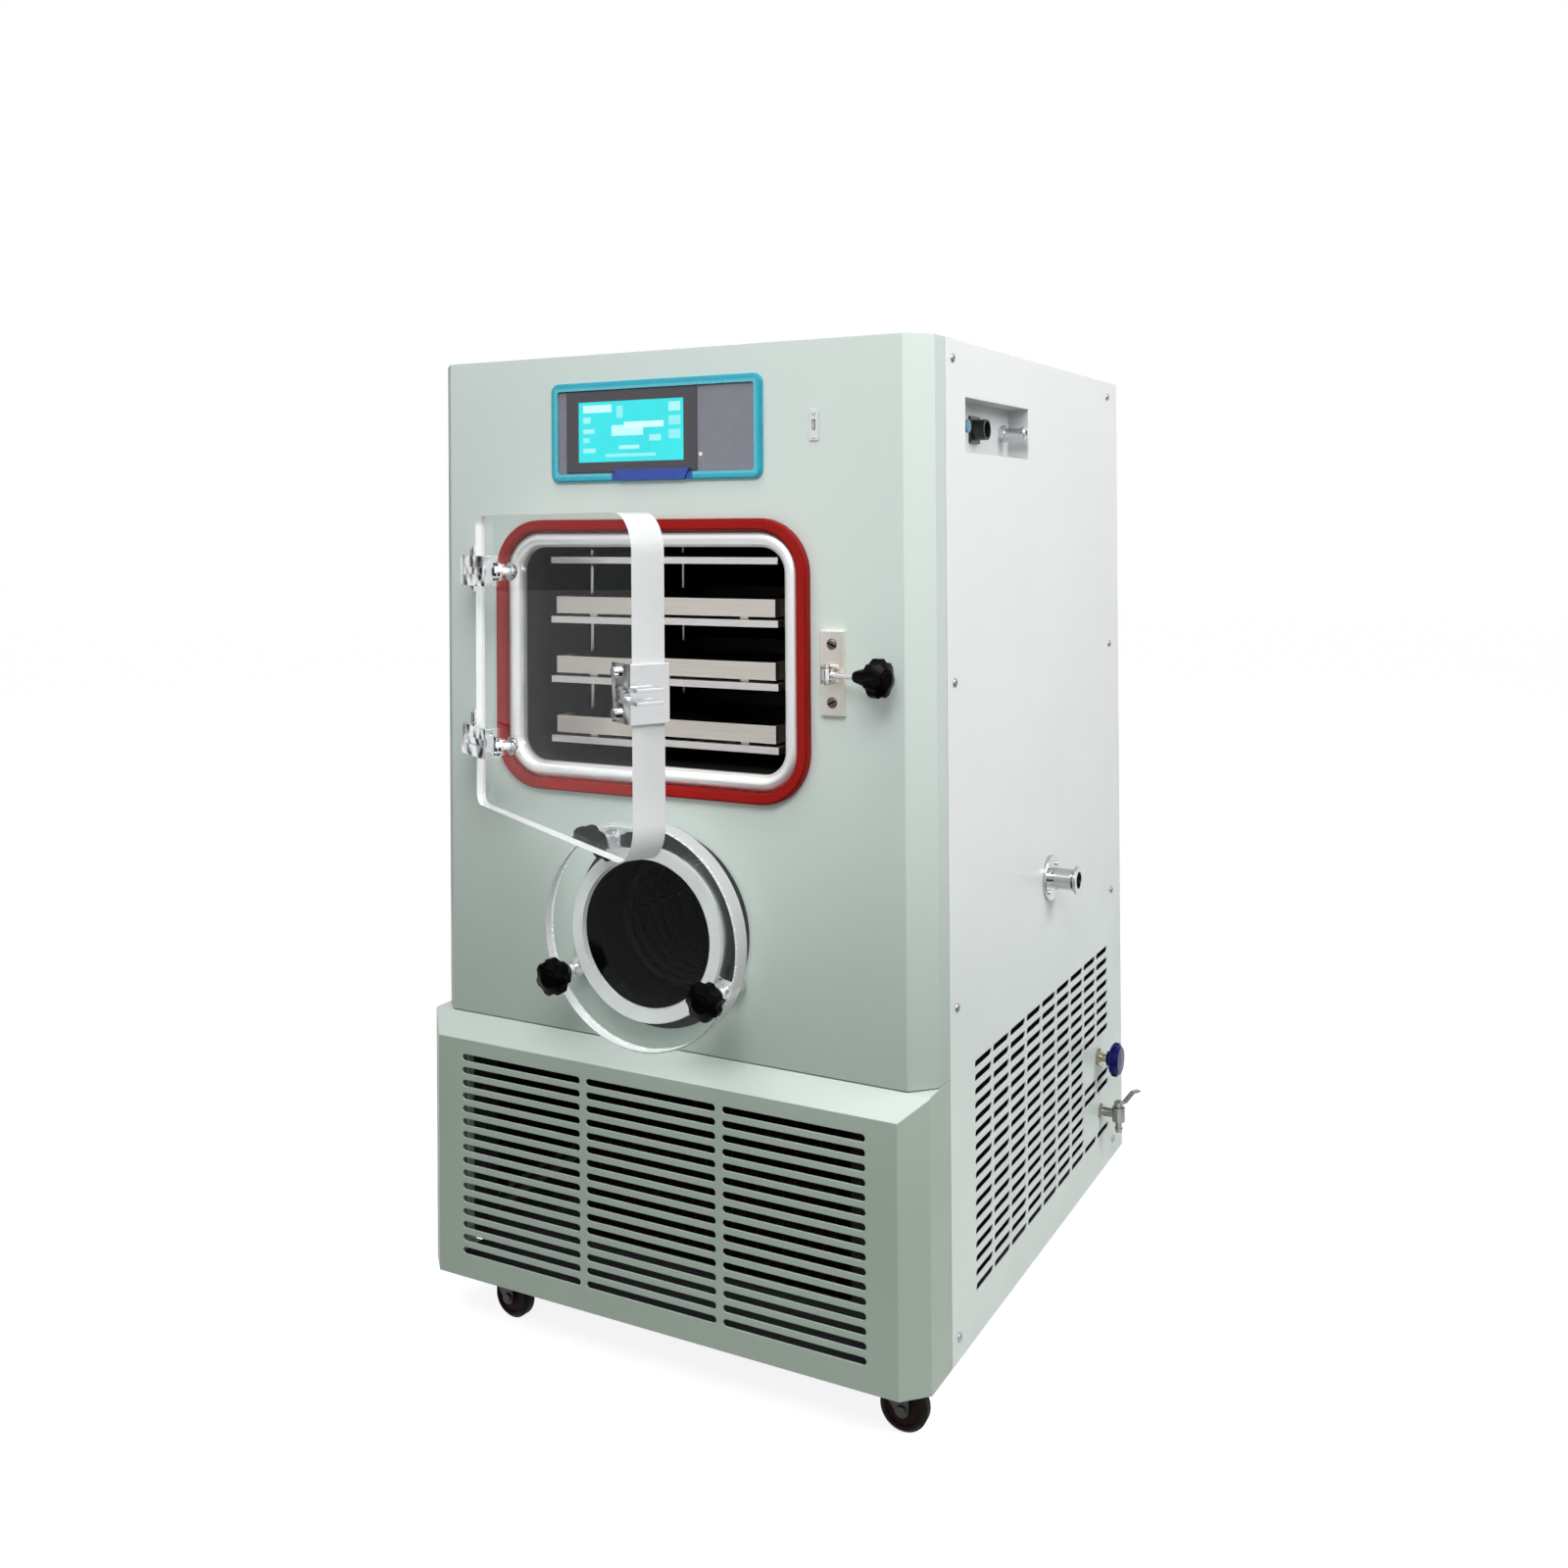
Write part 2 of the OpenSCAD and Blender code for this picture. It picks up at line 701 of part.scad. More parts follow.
module screws() {
    rows = [28, 437, 842, 1248];
    color([0.75, 0.75, 0.76]) cab() {
        for (s = [-1, 1], y = [side_y + screw_front, cab_d - screw_rear], z = rows)
            translate([s * half_w, y, z0 + z]) rotate([0, s * 90, 0]) pan_head();
        for (s = [-1, 1], z = rows)
            translate([s * (cover_x - 12), cab_d, z0 + z * (cab_h - 40) / cab_h]) rotate([-90, 0, 0]) pan_head();
    }
}

// ---------- drying chamber ----------

// Half-round bead around the chamber's mouth.
module rim_bead() {
    w = rim_path_w / 2 - rim_path_r;
    h = rim_path_h / 2 - rim_path_r;
    for (s = [-1, 1]) {
        translate([0, 0, s * rim_path_h / 2]) x_rod(rim_r, -w, w);
        translate([s * rim_path_w / 2, 0, -h]) cylinder(r = rim_r, h = 2 * h);
    }
    for (q = [[1, 1, 0], [-1, 1, 90], [-1, -1, 180], [1, -1, 270]])
        translate([q[0] * w, 0, q[1] * h]) rotate([90, 0, 0]) rotate([0, 0, q[2]])
            rotate_extrude(angle = 90) translate([rim_path_r, 0]) circle(rim_r);
}

module drying_chamber() {
    color([0.78, 0.79, 0.80]) cab() translate([chamber_x, 0, ch_z]) {
        difference() {
            union() {
                upright(sheet, chamber_d + chamber_wall) round_rect(chamber_w + 2 * chamber_wall,
                    chamber_h + 2 * chamber_wall, chamber_r + chamber_wall);
                upright(sheet, sheet + flange_t) round_rect(gasket_out_w + 2 * flange_lap,
                    gasket_out_h + 2 * flange_lap, gasket_out_r + flange_lap);
                upright(min(rim_mid, sheet - eps), sheet + eps)
                    round_rect(chamber_w + 2 * rim_w, chamber_h + 2 * rim_w, chamber_r + rim_w);
                translate([0, rim_mid, 0]) rim_bead();
            }
            upright(-rim_out - eps, chamber_d) round_rect(chamber_w, chamber_h, chamber_r);
        }
    }
}

// Ring around the chamber's mouth, narrowed by inset on both sides.
module gasket_ring(inset) {
    difference() {
        round_rect(gasket_out_w - 2 * inset, gasket_out_h - 2 * inset, gasket_out_r - inset);
        round_rect(gasket_in_w + 2 * inset, gasket_in_h + 2 * inset, gasket_in_r + inset);
    }
}

module chamber_gasket() {
    color([0.62, 0.06, 0.06]) cab() translate([chamber_x, 0, ch_z]) {
        upright(gasket_step - gasket_out, sheet) gasket_ring(0);
        upright(-gasket_out, gasket_step - gasket_out) gasket_ring(gasket_step);
    }
}

module shelf(i) {
    color([0.80, 0.81, 0.82]) cab() translate([chamber_x, 0, shelf_1 + i * shelf_pitch]) difference() {
        union() {
            span([-shelf_w / 2, shelf_y, 0], [shelf_w / 2, shelf_y + shelf_d, shelf_t]);
            for (s = [-1, 1], y = rod_y) translate([0, y, 0]) {
                translate([s * rod_x, 0, 0]) cylinder(r = ear_r, h = shelf_t);
                span([s * rod_x - ear_r * (s + 1) / 2, -ear_r, 0], [s * rod_x + ear_r * (1 - s) / 2, ear_r, shelf_t]);
            }
        }
        for (s = [-1, 1], y = rod_y) translate([s * rod_x, y, -eps])
            cylinder(r = rod_d / 2 + loose, h = shelf_t + 2 * eps);
    }
}

module shelf_1() { shelf(0); }
module shelf_2() { shelf(1); }
module shelf_3() { shelf(2); }
module shelf_4() { shelf(3); }

module shelf_rods() {
    low = shelf_1 - nut_h - 6;
    color([0.70, 0.71, 0.72]) cab() for (s = [-1, 1], y = rod_y) translate([chamber_x + s * rod_x, y, 0]) {
        translate([0, 0, low]) cylinder(r = rod_d / 2, h = rod_top - low);
        for (i = [0 : shelf_n - 1]) translate([0, 0, shelf_1 + i * shelf_pitch - nut_h])
            cylinder(r = nut_r, h = nut_h, $fn = 6);
    }
}

module tray(i) {
    color([0.82, 0.80, 0.76]) cab()
        translate([chamber_x, tray_y, shelf_1 + i * shelf_pitch + shelf_t]) {
            difference() {
                span([-tray_w / 2, 0, tray_foot], [tray_w / 2, tray_d, tray_foot + tray_h]);
                span([tray_t - tray_w / 2, tray_t, tray_foot + tray_t],
                    [tray_w / 2 - tray_t, tray_d - tray_t, tray_foot + tray_h + eps]);
            }
            for (s = [-1, 1]) translate([s * tray_w / 3, 0, 0])
                span([-runner_w / 2, runner_w, 0], [runner_w / 2, tray_d - runner_w, tray_foot + tray_t]);
        }
}

module tray_1() { tray(0); }
module tray_2() { tray(1); }
module tray_3() { tray(2); }

// ---------- cold trap ----------

module trap_place() { cab() translate([trap_x, 0, tz]) children(); }

// Repeats its children at each clamping stud.
module at_studs() {
    for (a = stud_at) translate([stud_ring * cos(a), 0, stud_ring * sin(a)]) children();
}

module trap_can() {
    color([0.60, 0.61, 0.62]) trap_place() {
        difference() {
            union() {
                y_rod(trap_r + trap_wall, sheet, trap_d + trap_wall);
                y_rod(trap_flange_r, sheet, sheet + trap_flange_t);
            }
            y_rod(trap_r, sheet - eps, trap_d);
        }
        y_rod(14, trap_d - 8, trap_d + eps);
    }
}

module trap_coil() {
    color([0.55, 0.42, 0.34]) trap_place() {
        for (i = [0 : coil_n - 1]) translate([0, coil_first + i * coil_pitch, 0]) rotate([90, 0, 0])
            rotate_extrude() translate([coil_r, 0]) circle(coil_d / 2, $fn = 24);
        for (s = [-1, 1]) translate([s * coil_r, 0, 0]) y_rod(coil_d / 2 - 1, coil_first, trap_d);
    }
}

module trap_collar() {
    color([0.75, 0.76, 0.77]) trap_place() difference() {
        union() {
            y_rod(trap_collar_r, trap_gasket_t - trap_out, sheet);
            for (a = stud_at) rotate([0, -a, 0])
                span([trap_r + 6, 1 - lug_y[1], 3 - lug_r], [stud_ring - 7, -1 - lug_y[0], lug_r - 3]);
            at_studs() y_rod(lug_r, -lug_y[1], -lug_y[0]);
        }
        y_rod(trap_r, -trap_out, sheet + eps);
        at_studs() y_rod(stud_d / 2 + run, -lug_y[1] - eps, eps - lug_y[0]);
    }
}

module trap_seals() {
    color([0.90, 0.91, 0.90]) trap_place() difference() {
        y_rod(trap_collar_r - 1, -trap_out, trap_gasket_t - trap_out);
        y_rod(trap_r + 2, -trap_out - eps, trap_gasket_t + eps - trap_out);
    }
    color([0.06, 0.06, 0.06]) trap_place() difference() {
        y_rod(trap_flange_r, -rubber_t, 0);
        y_rod(trap_collar_r + run, -rubber_t - eps, eps);
    }
}

module trap_studs() {
    color([0.78, 0.78, 0.80]) trap_place() at_studs() {
        y_rod(stud_d / 2, -stud_tip, trap_nut_h / 2 - lug_y[0]);
        rotate([90, 0, 0]) for (z = [lug_y[0] - trap_nut_h, lug_y[1]])
            translate([0, 0, z]) cylinder(r = nut_r, h = trap_nut_h, $fn = 6);
    }
}

module trap_lid() {
    color([0.88, 0.92, 0.90, 0.4]) trap_place() difference() {
        front_turned([[0, lid_in], [lid_r - lid_edge, lid_in], [lid_r, lid_in + lid_edge],
            [lid_r, lid_front - lid_edge], [lid_r - lid_edge, lid_front], [0, lid_front]]);
        at_studs() y_rod(stud_d / 2 + loose, -lid_front - eps, eps - lid_in);
    }
}

module trap_washers() {
    color([0.10, 0.10, 0.10]) trap_place() at_studs() difference() {
        y_rod(washer_r, -lid_front - washer_h, -lid_front);
        y_rod(stud_d / 2 + loose, -lid_front - washer_h - eps, eps - lid_front);
    }
}

// Outline of a star knob.
module star() {
    difference() {
        circle(knob_r);
        for (i = [0 : knob_lobes - 1]) rotate(i * 360 / knob_lobes) translate([knob_r + 4, 0]) circle(8);
    }
}

// A star knob standing on its hub, [lower radius, upper radius, height], with a blind bore.
module star_knob(bore_r, hub) {
    color([0.04, 0.04, 0.05]) difference() {
        union() {
            cylinder(r1 = hub[0], r2 = hub[1], h = hub[2] + eps);
            translate([0, 0, hub[2]]) intersection() {
                linear_extrude(knob_t) star();
                rotate_extrude() polygon([[0, 0], [knob_r - 3, 0], [knob_r + eps, 3],
                    [knob_r + eps, knob_t - 7], [knob_cap_r + 3, knob_t], [0, knob_t]]);
            }
            translate([0, 0, hub[2] + knob_t - eps]) cylinder(r = knob_cap_r, h = eps + 2);
        }
        translate([0, 0, -eps]) cylinder(r = bore_r, h = knob_bore + eps);
    }
}

module trap_knob(i) {
    a = stud_at[i];
    trap_place() translate([stud_ring * cos(a), -knob_seat, stud_ring * sin(a)]) rotate([90, 0, 0])
        rotate([0, 0, 23 * i]) star_knob(stud_d / 2 + run, knob_hub);
}

module trap_knob_1() { trap_knob(0); }
module trap_knob_2() { trap_knob(1); }
module trap_knob_3() { trap_knob(2); }

// ---------- door ----------

// Turns the closed door's pieces to the angle at which it stands open.
module door_place() {
    cab() translate([hinge_x, -hinge_out, 0]) rotate([0, 0, -door_open]) translate([-hinge_x, hinge_out, 0])
        children();
}

// The door's outline: small corners at the hinges, large ones at the free side.
module door_shape() {
    w = door_right - door_left;
    h = door_top - door_low;
    translate([door_left, door_low]) {
        translate([door_hinge_r, 0]) square([w - door_hinge_r - door_r, h]);
        translate([0, door_hinge_r]) square([door_hinge_r + eps, h - 2 * door_hinge_r]);
        translate([w - door_r - eps, door_r]) square([door_r + eps, h - 2 * door_r]);
        for (z = [door_hinge_r, h - door_hinge_r]) translate([door_hinge_r, z]) circle(door_hinge_r);
        for (z = [door_r, h - door_r]) translate([w - door_r, z]) circle(door_r);
    }
}

module chamber_door() {
    color([0.88, 0.92, 0.92, 0.4]) door_place() difference() {
        upright(-door_out, -door_in) door_shape();
        for (z = hinge_zs) translate([bolt_x, 0, z])
            y_rod(door_bolt_r + loose, -door_out - eps, eps - door_in);
    }
}

module hinge_bracket() {
    ear = hinge_h / 2;
    span([-post_back - hinge_post_r - 4, -hinge_base, -ear], [eye_r, 0, ear]);
    translate([-post_back, -post_out, -ear]) cylinder(r = hinge_post_r, h = hinge_h);
    translate([-post_back, -post_out, -ear - pin_cap]) cylinder(r = 5, h = hinge_h + 2 * pin_cap);
    translate([0, -hinge_out, -ear - pin_cap]) cylinder(r = hinge_pin_d / 2, h = hinge_h + 2 * pin_cap);
    for (z = [-ear, ear - ear_t]) translate([0, 0, z]) {
        translate([0, -hinge_out, 0]) cylinder(r = eye_r, h = ear_t);
        linear_extrude(ear_t) polygon([[-post_back - hinge_post_r, -post_out],
            [-post_back - hinge_post_r, -hinge_base / 2], [eye_r, -hinge_base / 2], [eye_r, -hinge_out],
            [-4, -hinge_out - eye_r + 1]]);
    }
}

module hinge_brackets() {
    color([0.72, 0.73, 0.75]) cab() for (z = hinge_zs) translate([hinge_x, 0, z]) hinge_bracket();
}

module hinge_arm() {
    face = hinge_out - door_out;
    reach = hinge_reach + arm_len;
    tip = hinge_reach + door_bolt_in;
    difference() {
        union() {
            translate([0, 0, -eye_h / 2]) cylinder(r = eye_r, h = eye_h);
            translate([0, 0, -arm_h / 2]) linear_extrude(arm_h) polygon([[-2, -eye_r + 1], [14, face - arm_t],
                [reach, face - arm_t], [reach, face], [24, face], [eye_r - 1, -4]]);
            span([reach - eps, face - tongue_t, -tongue_h / 2], [tip, face, tongue_h / 2]);
            translate([tip, 0, 0]) y_rod(tongue_h / 2, face - tongue_t, face);
        }
        span([24, face - arm_t - eps, -groove_h / 2], [reach - 8, face - arm_t + groove_t, groove_h / 2]);
        translate([0, 0, -hinge_h / 2]) cylinder(r = hinge_pin_d / 2 + run, h = hinge_h);
        translate([tip, 0, 0]) y_rod(door_bolt_r + loose, face - tongue_t - eps, face + eps);
    }
}

module hinge_arms() {
    color([0.72, 0.73, 0.75]) door_place() for (z = hinge_zs) translate([hinge_x, -hinge_out, z]) hinge_arm();
}

// A through bolt with a low head in front and a dome nut behind.
module door_bolt() {
    front = door_out + tongue_t;
    front_turned(concat([for (a = [0 : 15 : 90]) [dome_r * sin(a), door_in - dome_h * cos(a)]],
        [[door_bolt_r, door_in], [door_bolt_r, front], [bolt_head_r, front], [bolt_head_r, front + 3.5],
        [bolt_head_r - 2, front + 5], [0, front + 5]]));
}

module door_bolts() {
    color([0.74, 0.75, 0.77]) door_place() for (z = hinge_zs) translate([bolt_x, 0, z]) door_bolt();
}

// Clamp around the door's free edge, with two prongs that the latch's bolt swings between.
module door_catch() {
    outer = -door_out - catch_t;
    tip = -door_out - prong_out;
    color([0.74, 0.75, 0.77]) door_place() translate([0, 0, latch_z]) {
        span([door_right - catch_w, outer, -catch_h / 2], [door_right + catch_t, -door_out, catch_h / 2]);
        span([door_right, -door_out - eps, -catch_h / 2], [door_right + catch_t, -door_in + catch_t, catch_h / 2]);
        span([door_right - catch_lip, -door_in, -catch_h / 2], [door_right + eps, -door_in + catch_t, catch_h / 2]);
        for (z = [-catch_gap / 2 - prong_t, catch_gap / 2]) {
            span([door_right - catch_w / 2, tip, z], [prong_end, outer + eps, z + prong_t]);
            span([door_right + catch_t - eps, tip, z], [prong_end, -prong_rear, z + prong_t]);
        }
        for (z = [-catch_h / 2 + 10, catch_h / 2 - 10]) translate([door_right - catch_w + 12, 0, z])
            y_rod(6, outer - 5, outer + eps);
        translate([door_right - catch_w / 2 + 9, 0, 0]) y_rod(9, tip + 2, outer + eps);
    }
}

// ---------- latch ----------

module latch_plate() {
    gap = latch_eye_h / 2 + clear;
    color([0.72, 0.71, 0.68]) cab() translate([latch_x, 0, latch_z]) {
        span([-latch_w / 2, -latch_base, -latch_h / 2], [latch_w / 2, 0, latch_h / 2]);
        for (z = [gap, -gap - latch_ear_t]) translate([0, 0, z]) {
            span([-latch_eye_r, -latch_out, 0], [latch_eye_r, -latch_base + 0.5, latch_ear_t]);
            translate([0, -latch_out, 0]) cylinder(r = latch_eye_r, h = latch_ear_t);
        }
        translate([0, -latch_out, -gap - latch_ear_t - 2]) cylinder(r = latch_pin_r, h = 2 * (gap + latch_ear_t + 2));
        for (s = [-1, 1]) translate([0, -latch_base + 0.2, s * (latch_h / 2 - 16)]) rotate([90, 0, 0]) pan_head();
    }
}

// Puts the latch's own x axis along the swing bolt at rest.
module latch_place() {
    cab() translate([latch_x, -latch_out, latch_z]) rotate([0, 0, -latch_open]) children();
}

module latch_bolt() {
    color([0.76, 0.77, 0.78]) latch_place() difference() {
        union() {
            translate([0, 0, -latch_eye_h / 2]) cylinder(r = latch_eye_r, h = latch_eye_h);
            x_rod(latch_d / 2, 0, shank_len + knob_bore - 2);
        }
        translate([0, 0, -latch_eye_h]) cylinder(r = latch_pin_r + run, h = 2 * latch_eye_h);
    }
}

module latch_knob() {
    latch_place() translate([shank_len, 0, 0]) rotate([0, 90, 0])
        star_knob(latch_d / 2 + run, concat(latch_neck_r, latch_neck));
}

// ---------- display and data port ----------

module display_place() { cab() translate([display_x, 0, z0 + display_z]) children(); }

module display_frame() {
    color([0.05, 0.55, 0.66]) display_place() {
        difference() {
            union() {
                upright(2 - display_out, 0) round_rect(display_w, display_h, display_r);
                upright(-display_out, 2 - display_out) round_rect(display_w - 4, display_h - 4, display_r - 2);
            }
            upright(-display_out - eps, eps) round_rect(inner_w, inner_h, 4);
        }
        upright(-display_out - 2, -screen_out - clear) translate([-1, -display_h / 2 + 1]) polygon([
            [8 - tab_w / 2, 0], [tab_w / 2 - 8, 0], [tab_w / 2, tab_h], [-tab_w / 2, tab_h]
        ]);
    }
}

module display_panel() {
    color([0.45, 0.45, 0.50]) display_place() difference() {
        upright(-panel_t, 0) round_rect(inner_w - 2 * clear, inner_h - 2 * clear, 4 - clear);
        translate([screen_x - display_x, 0, 0]) upright(-panel_t - eps, eps)
            square([screen_w - 16 + 2 * loose, screen_h - 16 + 2 * loose], center = true);
    }
}

module touch_screen() {
    color([0.18, 0.17, 0.20]) display_place() translate([screen_x - display_x, 0, 0]) difference() {
        union() {
            upright(-screen_out, -panel_t) square([screen_w, screen_h], center = true);
            upright(-panel_t - 0.5, 38) square([screen_w - 16, screen_h - 16], center = true);
        }
        upright(-screen_out - eps, 0.8 - screen_out) square([lit_w, lit_h], center = true);
    }
}

module data_port() {
    color([0.92, 0.93, 0.92]) cab() translate([port_x, 0, z0 + port_z]) {
        difference() {
            union() {
                upright(-1.5, 0) round_rect(14, 40, 3);
                upright(-0.5, 16) square([6, 16], center = true);
            }
            upright(-2, 12) square([4.4, 13], center = true);
        }
        upright(-0.5, 13) translate([-0.6, 0]) square([1.8, 11.5], center = true);
        for (s = [-1, 1]) translate([0, -1.2, s * 15]) rotate([90, 0, 0]) cylinder(r = 2.4, h = 1.2);
    }
}

// ---------- right side fittings ----------

module connector_recess() {
    inner = [[recess_y, z0 + recess_z], [recess_y + recess_w, z0 + recess_z + recess_h]];
    edge = 10;
    color([0.70, 0.72, 0.72]) cab() difference() {
        union() {
            span([fit_x - sheet, inner[0][0] - sheet, inner[0][1] - sheet],
                [half_w - sheet, inner[1][0] + sheet, inner[1][1] + sheet]);
            span([half_w - 2 * sheet, inner[0][0] - edge, inner[0][1] - edge],
                [half_w - sheet, inner[1][0] + edge, inner[1][1] + edge]);
        }
        span([fit_x, inner[0][0], inner[0][1]], [half_w, inner[1][0], inner[1][1]]);
    }
}

module recess_fittings() {
    cab() {
        color([0.10, 0.45, 0.55]) translate([fit_x, recess_y + coupling_at, recess_mid]) {
            x_rod(10, 0, 5);
            x_rod(7, 4, 20);
            x_rod(8.5, 19, 25);
        }
        color([0.06, 0.06, 0.06]) translate([fit_x, recess_y + socket_at, recess_mid]) {
            span([0, -18, -18], [3, 18, 18]);
            difference() {
                x_rod(14, 2, 20);
                x_rod(11.5, 5, 21);
            }
            for (a = [0 : 60 : 300]) translate([0, 6 * cos(a), 6 * sin(a)]) x_rod(1.2, 4, 14);
        }
        color([0.75, 0.76, 0.77]) translate([fit_x, recess_y + nozzle_at, recess_mid]) difference() {
            union() {
                rotate([0, 90, 0]) cylinder(r = 12, h = 8, $fn = 6);
                x_rod(7, 7, recess_d + 8);
                x_rod(9, recess_d + 2, recess_d + 6);
            }
            x_rod(4, 4, recess_d + 9);
        }
    }
}

module vacuum_port() {
    r = vacuum_r + 4 - clear;
    color([0.76, 0.77, 0.78]) cab() translate([half_w, vacuum_y, z0 + vacuum_z]) {
        x_turned([[vacuum_r, -vacuum_in], [r, -vacuum_in], [r, 0], [vacuum_flange_r, 0], [vacuum_flange_r, 4],
            [vacuum_flange_r - 1, 5], [r - 1, 5], [r - 1, vacuum_out - 9], [vacuum_end_r, vacuum_out - 4],
            [vacuum_end_r, vacuum_out], [vacuum_r, vacuum_out]]);
        for (a = [45 : 90 : 315]) translate([0, 25 * cos(a), 25 * sin(a)]) x_rod(3.5, 4.5, 7.5);
    }
}

module vent_valve() {
    color([0.72, 0.70, 0.62]) cab() translate([half_w, vent_y, z0 + vent_z]) {
        x_rod(vent_bush_r, -28, 8);
        rotate([0, 90, 0]) cylinder(r = 14, h = 6, $fn = 6);
        x_rod(6, 7, 16);
        x_rod(vent_stem_r, 15, 30);
    }
}

module vent_knob() {
    color([0.08, 0.08, 0.45]) cab() translate([half_w, vent_y, z0 + vent_z]) difference() {
        x_turned([[0, 16 + clear], [11, 16 + clear], [12, 22], [vent_r - 5, 23], [vent_r, 27], [vent_r, 33],
            [vent_r - 6, 38], [0, 39]]);
        for (a = [0 : 45 : 315]) translate([0, (vent_r + 5) * cos(a), (vent_r + 5) * sin(a)]) x_rod(8, 16, 40);
        x_rod(vent_stem_r + run, 15, 30 + clear);
    }
}

module drain_tap() {
    color([0.74, 0.74, 0.72]) cab() translate([half_w, drain_y, z0 + drain_z]) difference() {
        union() {
            x_rod(drain_tube_r, -28, drain_x);
            rotate([0, 90, 0]) cylinder(r = 12, h = 5, $fn = 6);
            translate([drain_x, 0, -11]) cylinder(r = 10, h = 22);
            translate([drain_x, 0, -28]) cylinder(r = 5, h = 20);
            translate([drain_x, 0, -26]) cylinder(r1 = 5.2, r2 = 6.5, h = 4);
            translate([drain_x, 0, 10]) cylinder(r = 3, h = 12);
        }
        translate([drain_x, 0, -29]) cylinder(r = 3, h = 24);
    }
}

// Lever of the tap: a strip on the stem, bent down and out towards its end.
module drain_lever() {
    color([0.74, 0.74, 0.72]) cab() translate([half_w + drain_x, drain_y, z0 + drain_z]) difference() {
        union() {
            translate([0, 0, 11 + clear]) cylinder(r = 7, h = 8);
            rotate([90, 0, 60]) translate([0, 0, -4]) linear_extrude(8) polygon([[0, 15], [14, 15], [32, 27], [44, 27],
                [44, 29.5], [31, 29.5], [13, 17.5], [0, 17.5]]);
        }
        translate([0, 0, 11]) cylinder(r = 3 + run, h = 11 + clear);
    }
}

// ---------- refrigeration and rear ----------

module compressor() {
    shell_r = 84;
    shell_h = 176;
    color([0.05, 0.05, 0.06]) cab()
        translate([compressor_x, compressor_y, pan_top]) {
        for (a = [45 : 90 : 315]) translate([92 * cos(a), 92 * sin(a), 0]) {
            cylinder(r = 13, h = 14);
            cylinder(r = 5, h = 24);
        }
        translate([0, 0, 14]) cylinder(r = 100, h = 4);
        translate([0, 0, 17]) rotate_extrude() polygon(concat([[0, 0], [shell_r - 10, 0], [shell_r, 12]],
            [for (a = [0 : 10 : 80]) [shell_r * cos(a), shell_h - 50 + 50 * sin(a)]], [[0, shell_h]]));
        translate([shell_r - 8, -22, 70]) cube([26, 44, 60]);
    }
}

// Finned condenser with the fan's shroud and motor behind it.
module condenser_unit() {
    w = 400;
    h = 300;
    fins = 21;
    leg_at = fan_r + 13;
    color([0.65, 0.66, 0.68]) cab() translate([0, 0, pan_top]) {
        for (i = [0 : fins - 1]) translate([(i / (fins - 1) - 0.5) * (w - 4) - 1, coil_y[0], 0])
            cube([2, coil_y[1] - coil_y[0], h]);
        for (z = [30 : 60 : h - 30], y = [124, 140]) translate([0, y, z]) x_rod(5, -w / 2, w / 2);
        difference() {
            translate([-w / 2, coil_y[1] - eps, 0]) cube([w, 3, h]);
            translate([0, 0, fan_z - pan_top]) y_rod(fan_r + 6, coil_y[0], coil_y[1] + 4);
        }
        translate([0, 0, fan_z - pan_top]) {
            y_rod(34, motor_y, motor_y + 56);
            y_rod(4, fan_y[0], motor_y + eps);
            for (a = [45 : 90 : 315]) rotate([0, a, 0]) {
                translate([leg_at, 0, 0]) y_rod(5, coil_y[1] + 1, motor_y + 16);
                translate([0, motor_y + 10, 0]) x_rod(4, 30, leg_at);
            }
        }
    }
}

module condenser_fan() {
    color([0.10, 0.10, 0.11]) cab() translate([0, 0, fan_z]) difference() {
        union() {
            y_rod(30, fan_y[0] + 2, fan_y[1]);
            for (i = [0 : 4]) rotate([0, 72 * i, 0]) translate([0, (fan_y[0] + fan_y[1]) / 2, 0])
                rotate([28, 0, 0]) translate([26, -1.5, -19]) cube([fan_r - 30, 3, 38]);
        }
        y_rod(4 + run, fan_y[0] - eps, fan_y[1] + eps);
    }
}

module cord_gland() {
    bore_r = 6;
    color([0.08, 0.08, 0.08]) cab() translate([gland_x, cab_d, gland_z]) rotate([-90, 0, 0]) difference() {
        union() {
            translate([0, 0, -16]) cylinder(r = gland_r, h = 17);
            cylinder(r = 15, h = 7, $fn = 6);
            translate([0, 0, 6]) rotate_extrude()
                polygon([[0, 0], [13, 0], [13, gland_out - 9], [10, gland_out - 6], [0, gland_out - 6]]);
        }
        translate([0, 0, -17]) cylinder(r = bore_r, h = gland_out + 18);
    }
}

// ---------- castors ----------

// Castor number i, with its swivel axis upright at x = y = 0 and the wheel trailing to +x.
module castor_place(i) {
    cab() translate([castor_at[i][0], castor_at[i][1], 0]) rotate([0, 0, castor_turn[i]]) children();
}

module castor_fork(i) {
    inner = wheel_w / 2 + hub_gap;
    color([0.10, 0.10, 0.11]) castor_place(i) {
        translate([0, 0, race_z]) cylinder(r = race_r, h = race_t);
        translate([0, 0, race_z]) cylinder(r = king_r, h = z0 + sheet - weld - clear - race_z);
        span([-race_r + 3, -inner - leg_t, race_z - leg_t], [castor_trail + 10, inner + leg_t, race_z]);
        for (y = [-inner - leg_t, inner]) upright(y, y + leg_t) {
            polygon([[3 - race_r, race_z], [castor_trail + 10, race_z], [castor_trail + 9, wheel_r],
                [castor_trail - 9, wheel_r]]);
            translate([castor_trail, wheel_r]) circle(9);
        }
        translate([castor_trail, 0, wheel_r]) {
            y_rod(axle_r, -inner - leg_t - 2, inner + leg_t + 2);
            for (y = [-inner - leg_t - 3, inner + leg_t]) y_rod(6.5, y, y + 3);
        }
    }
}

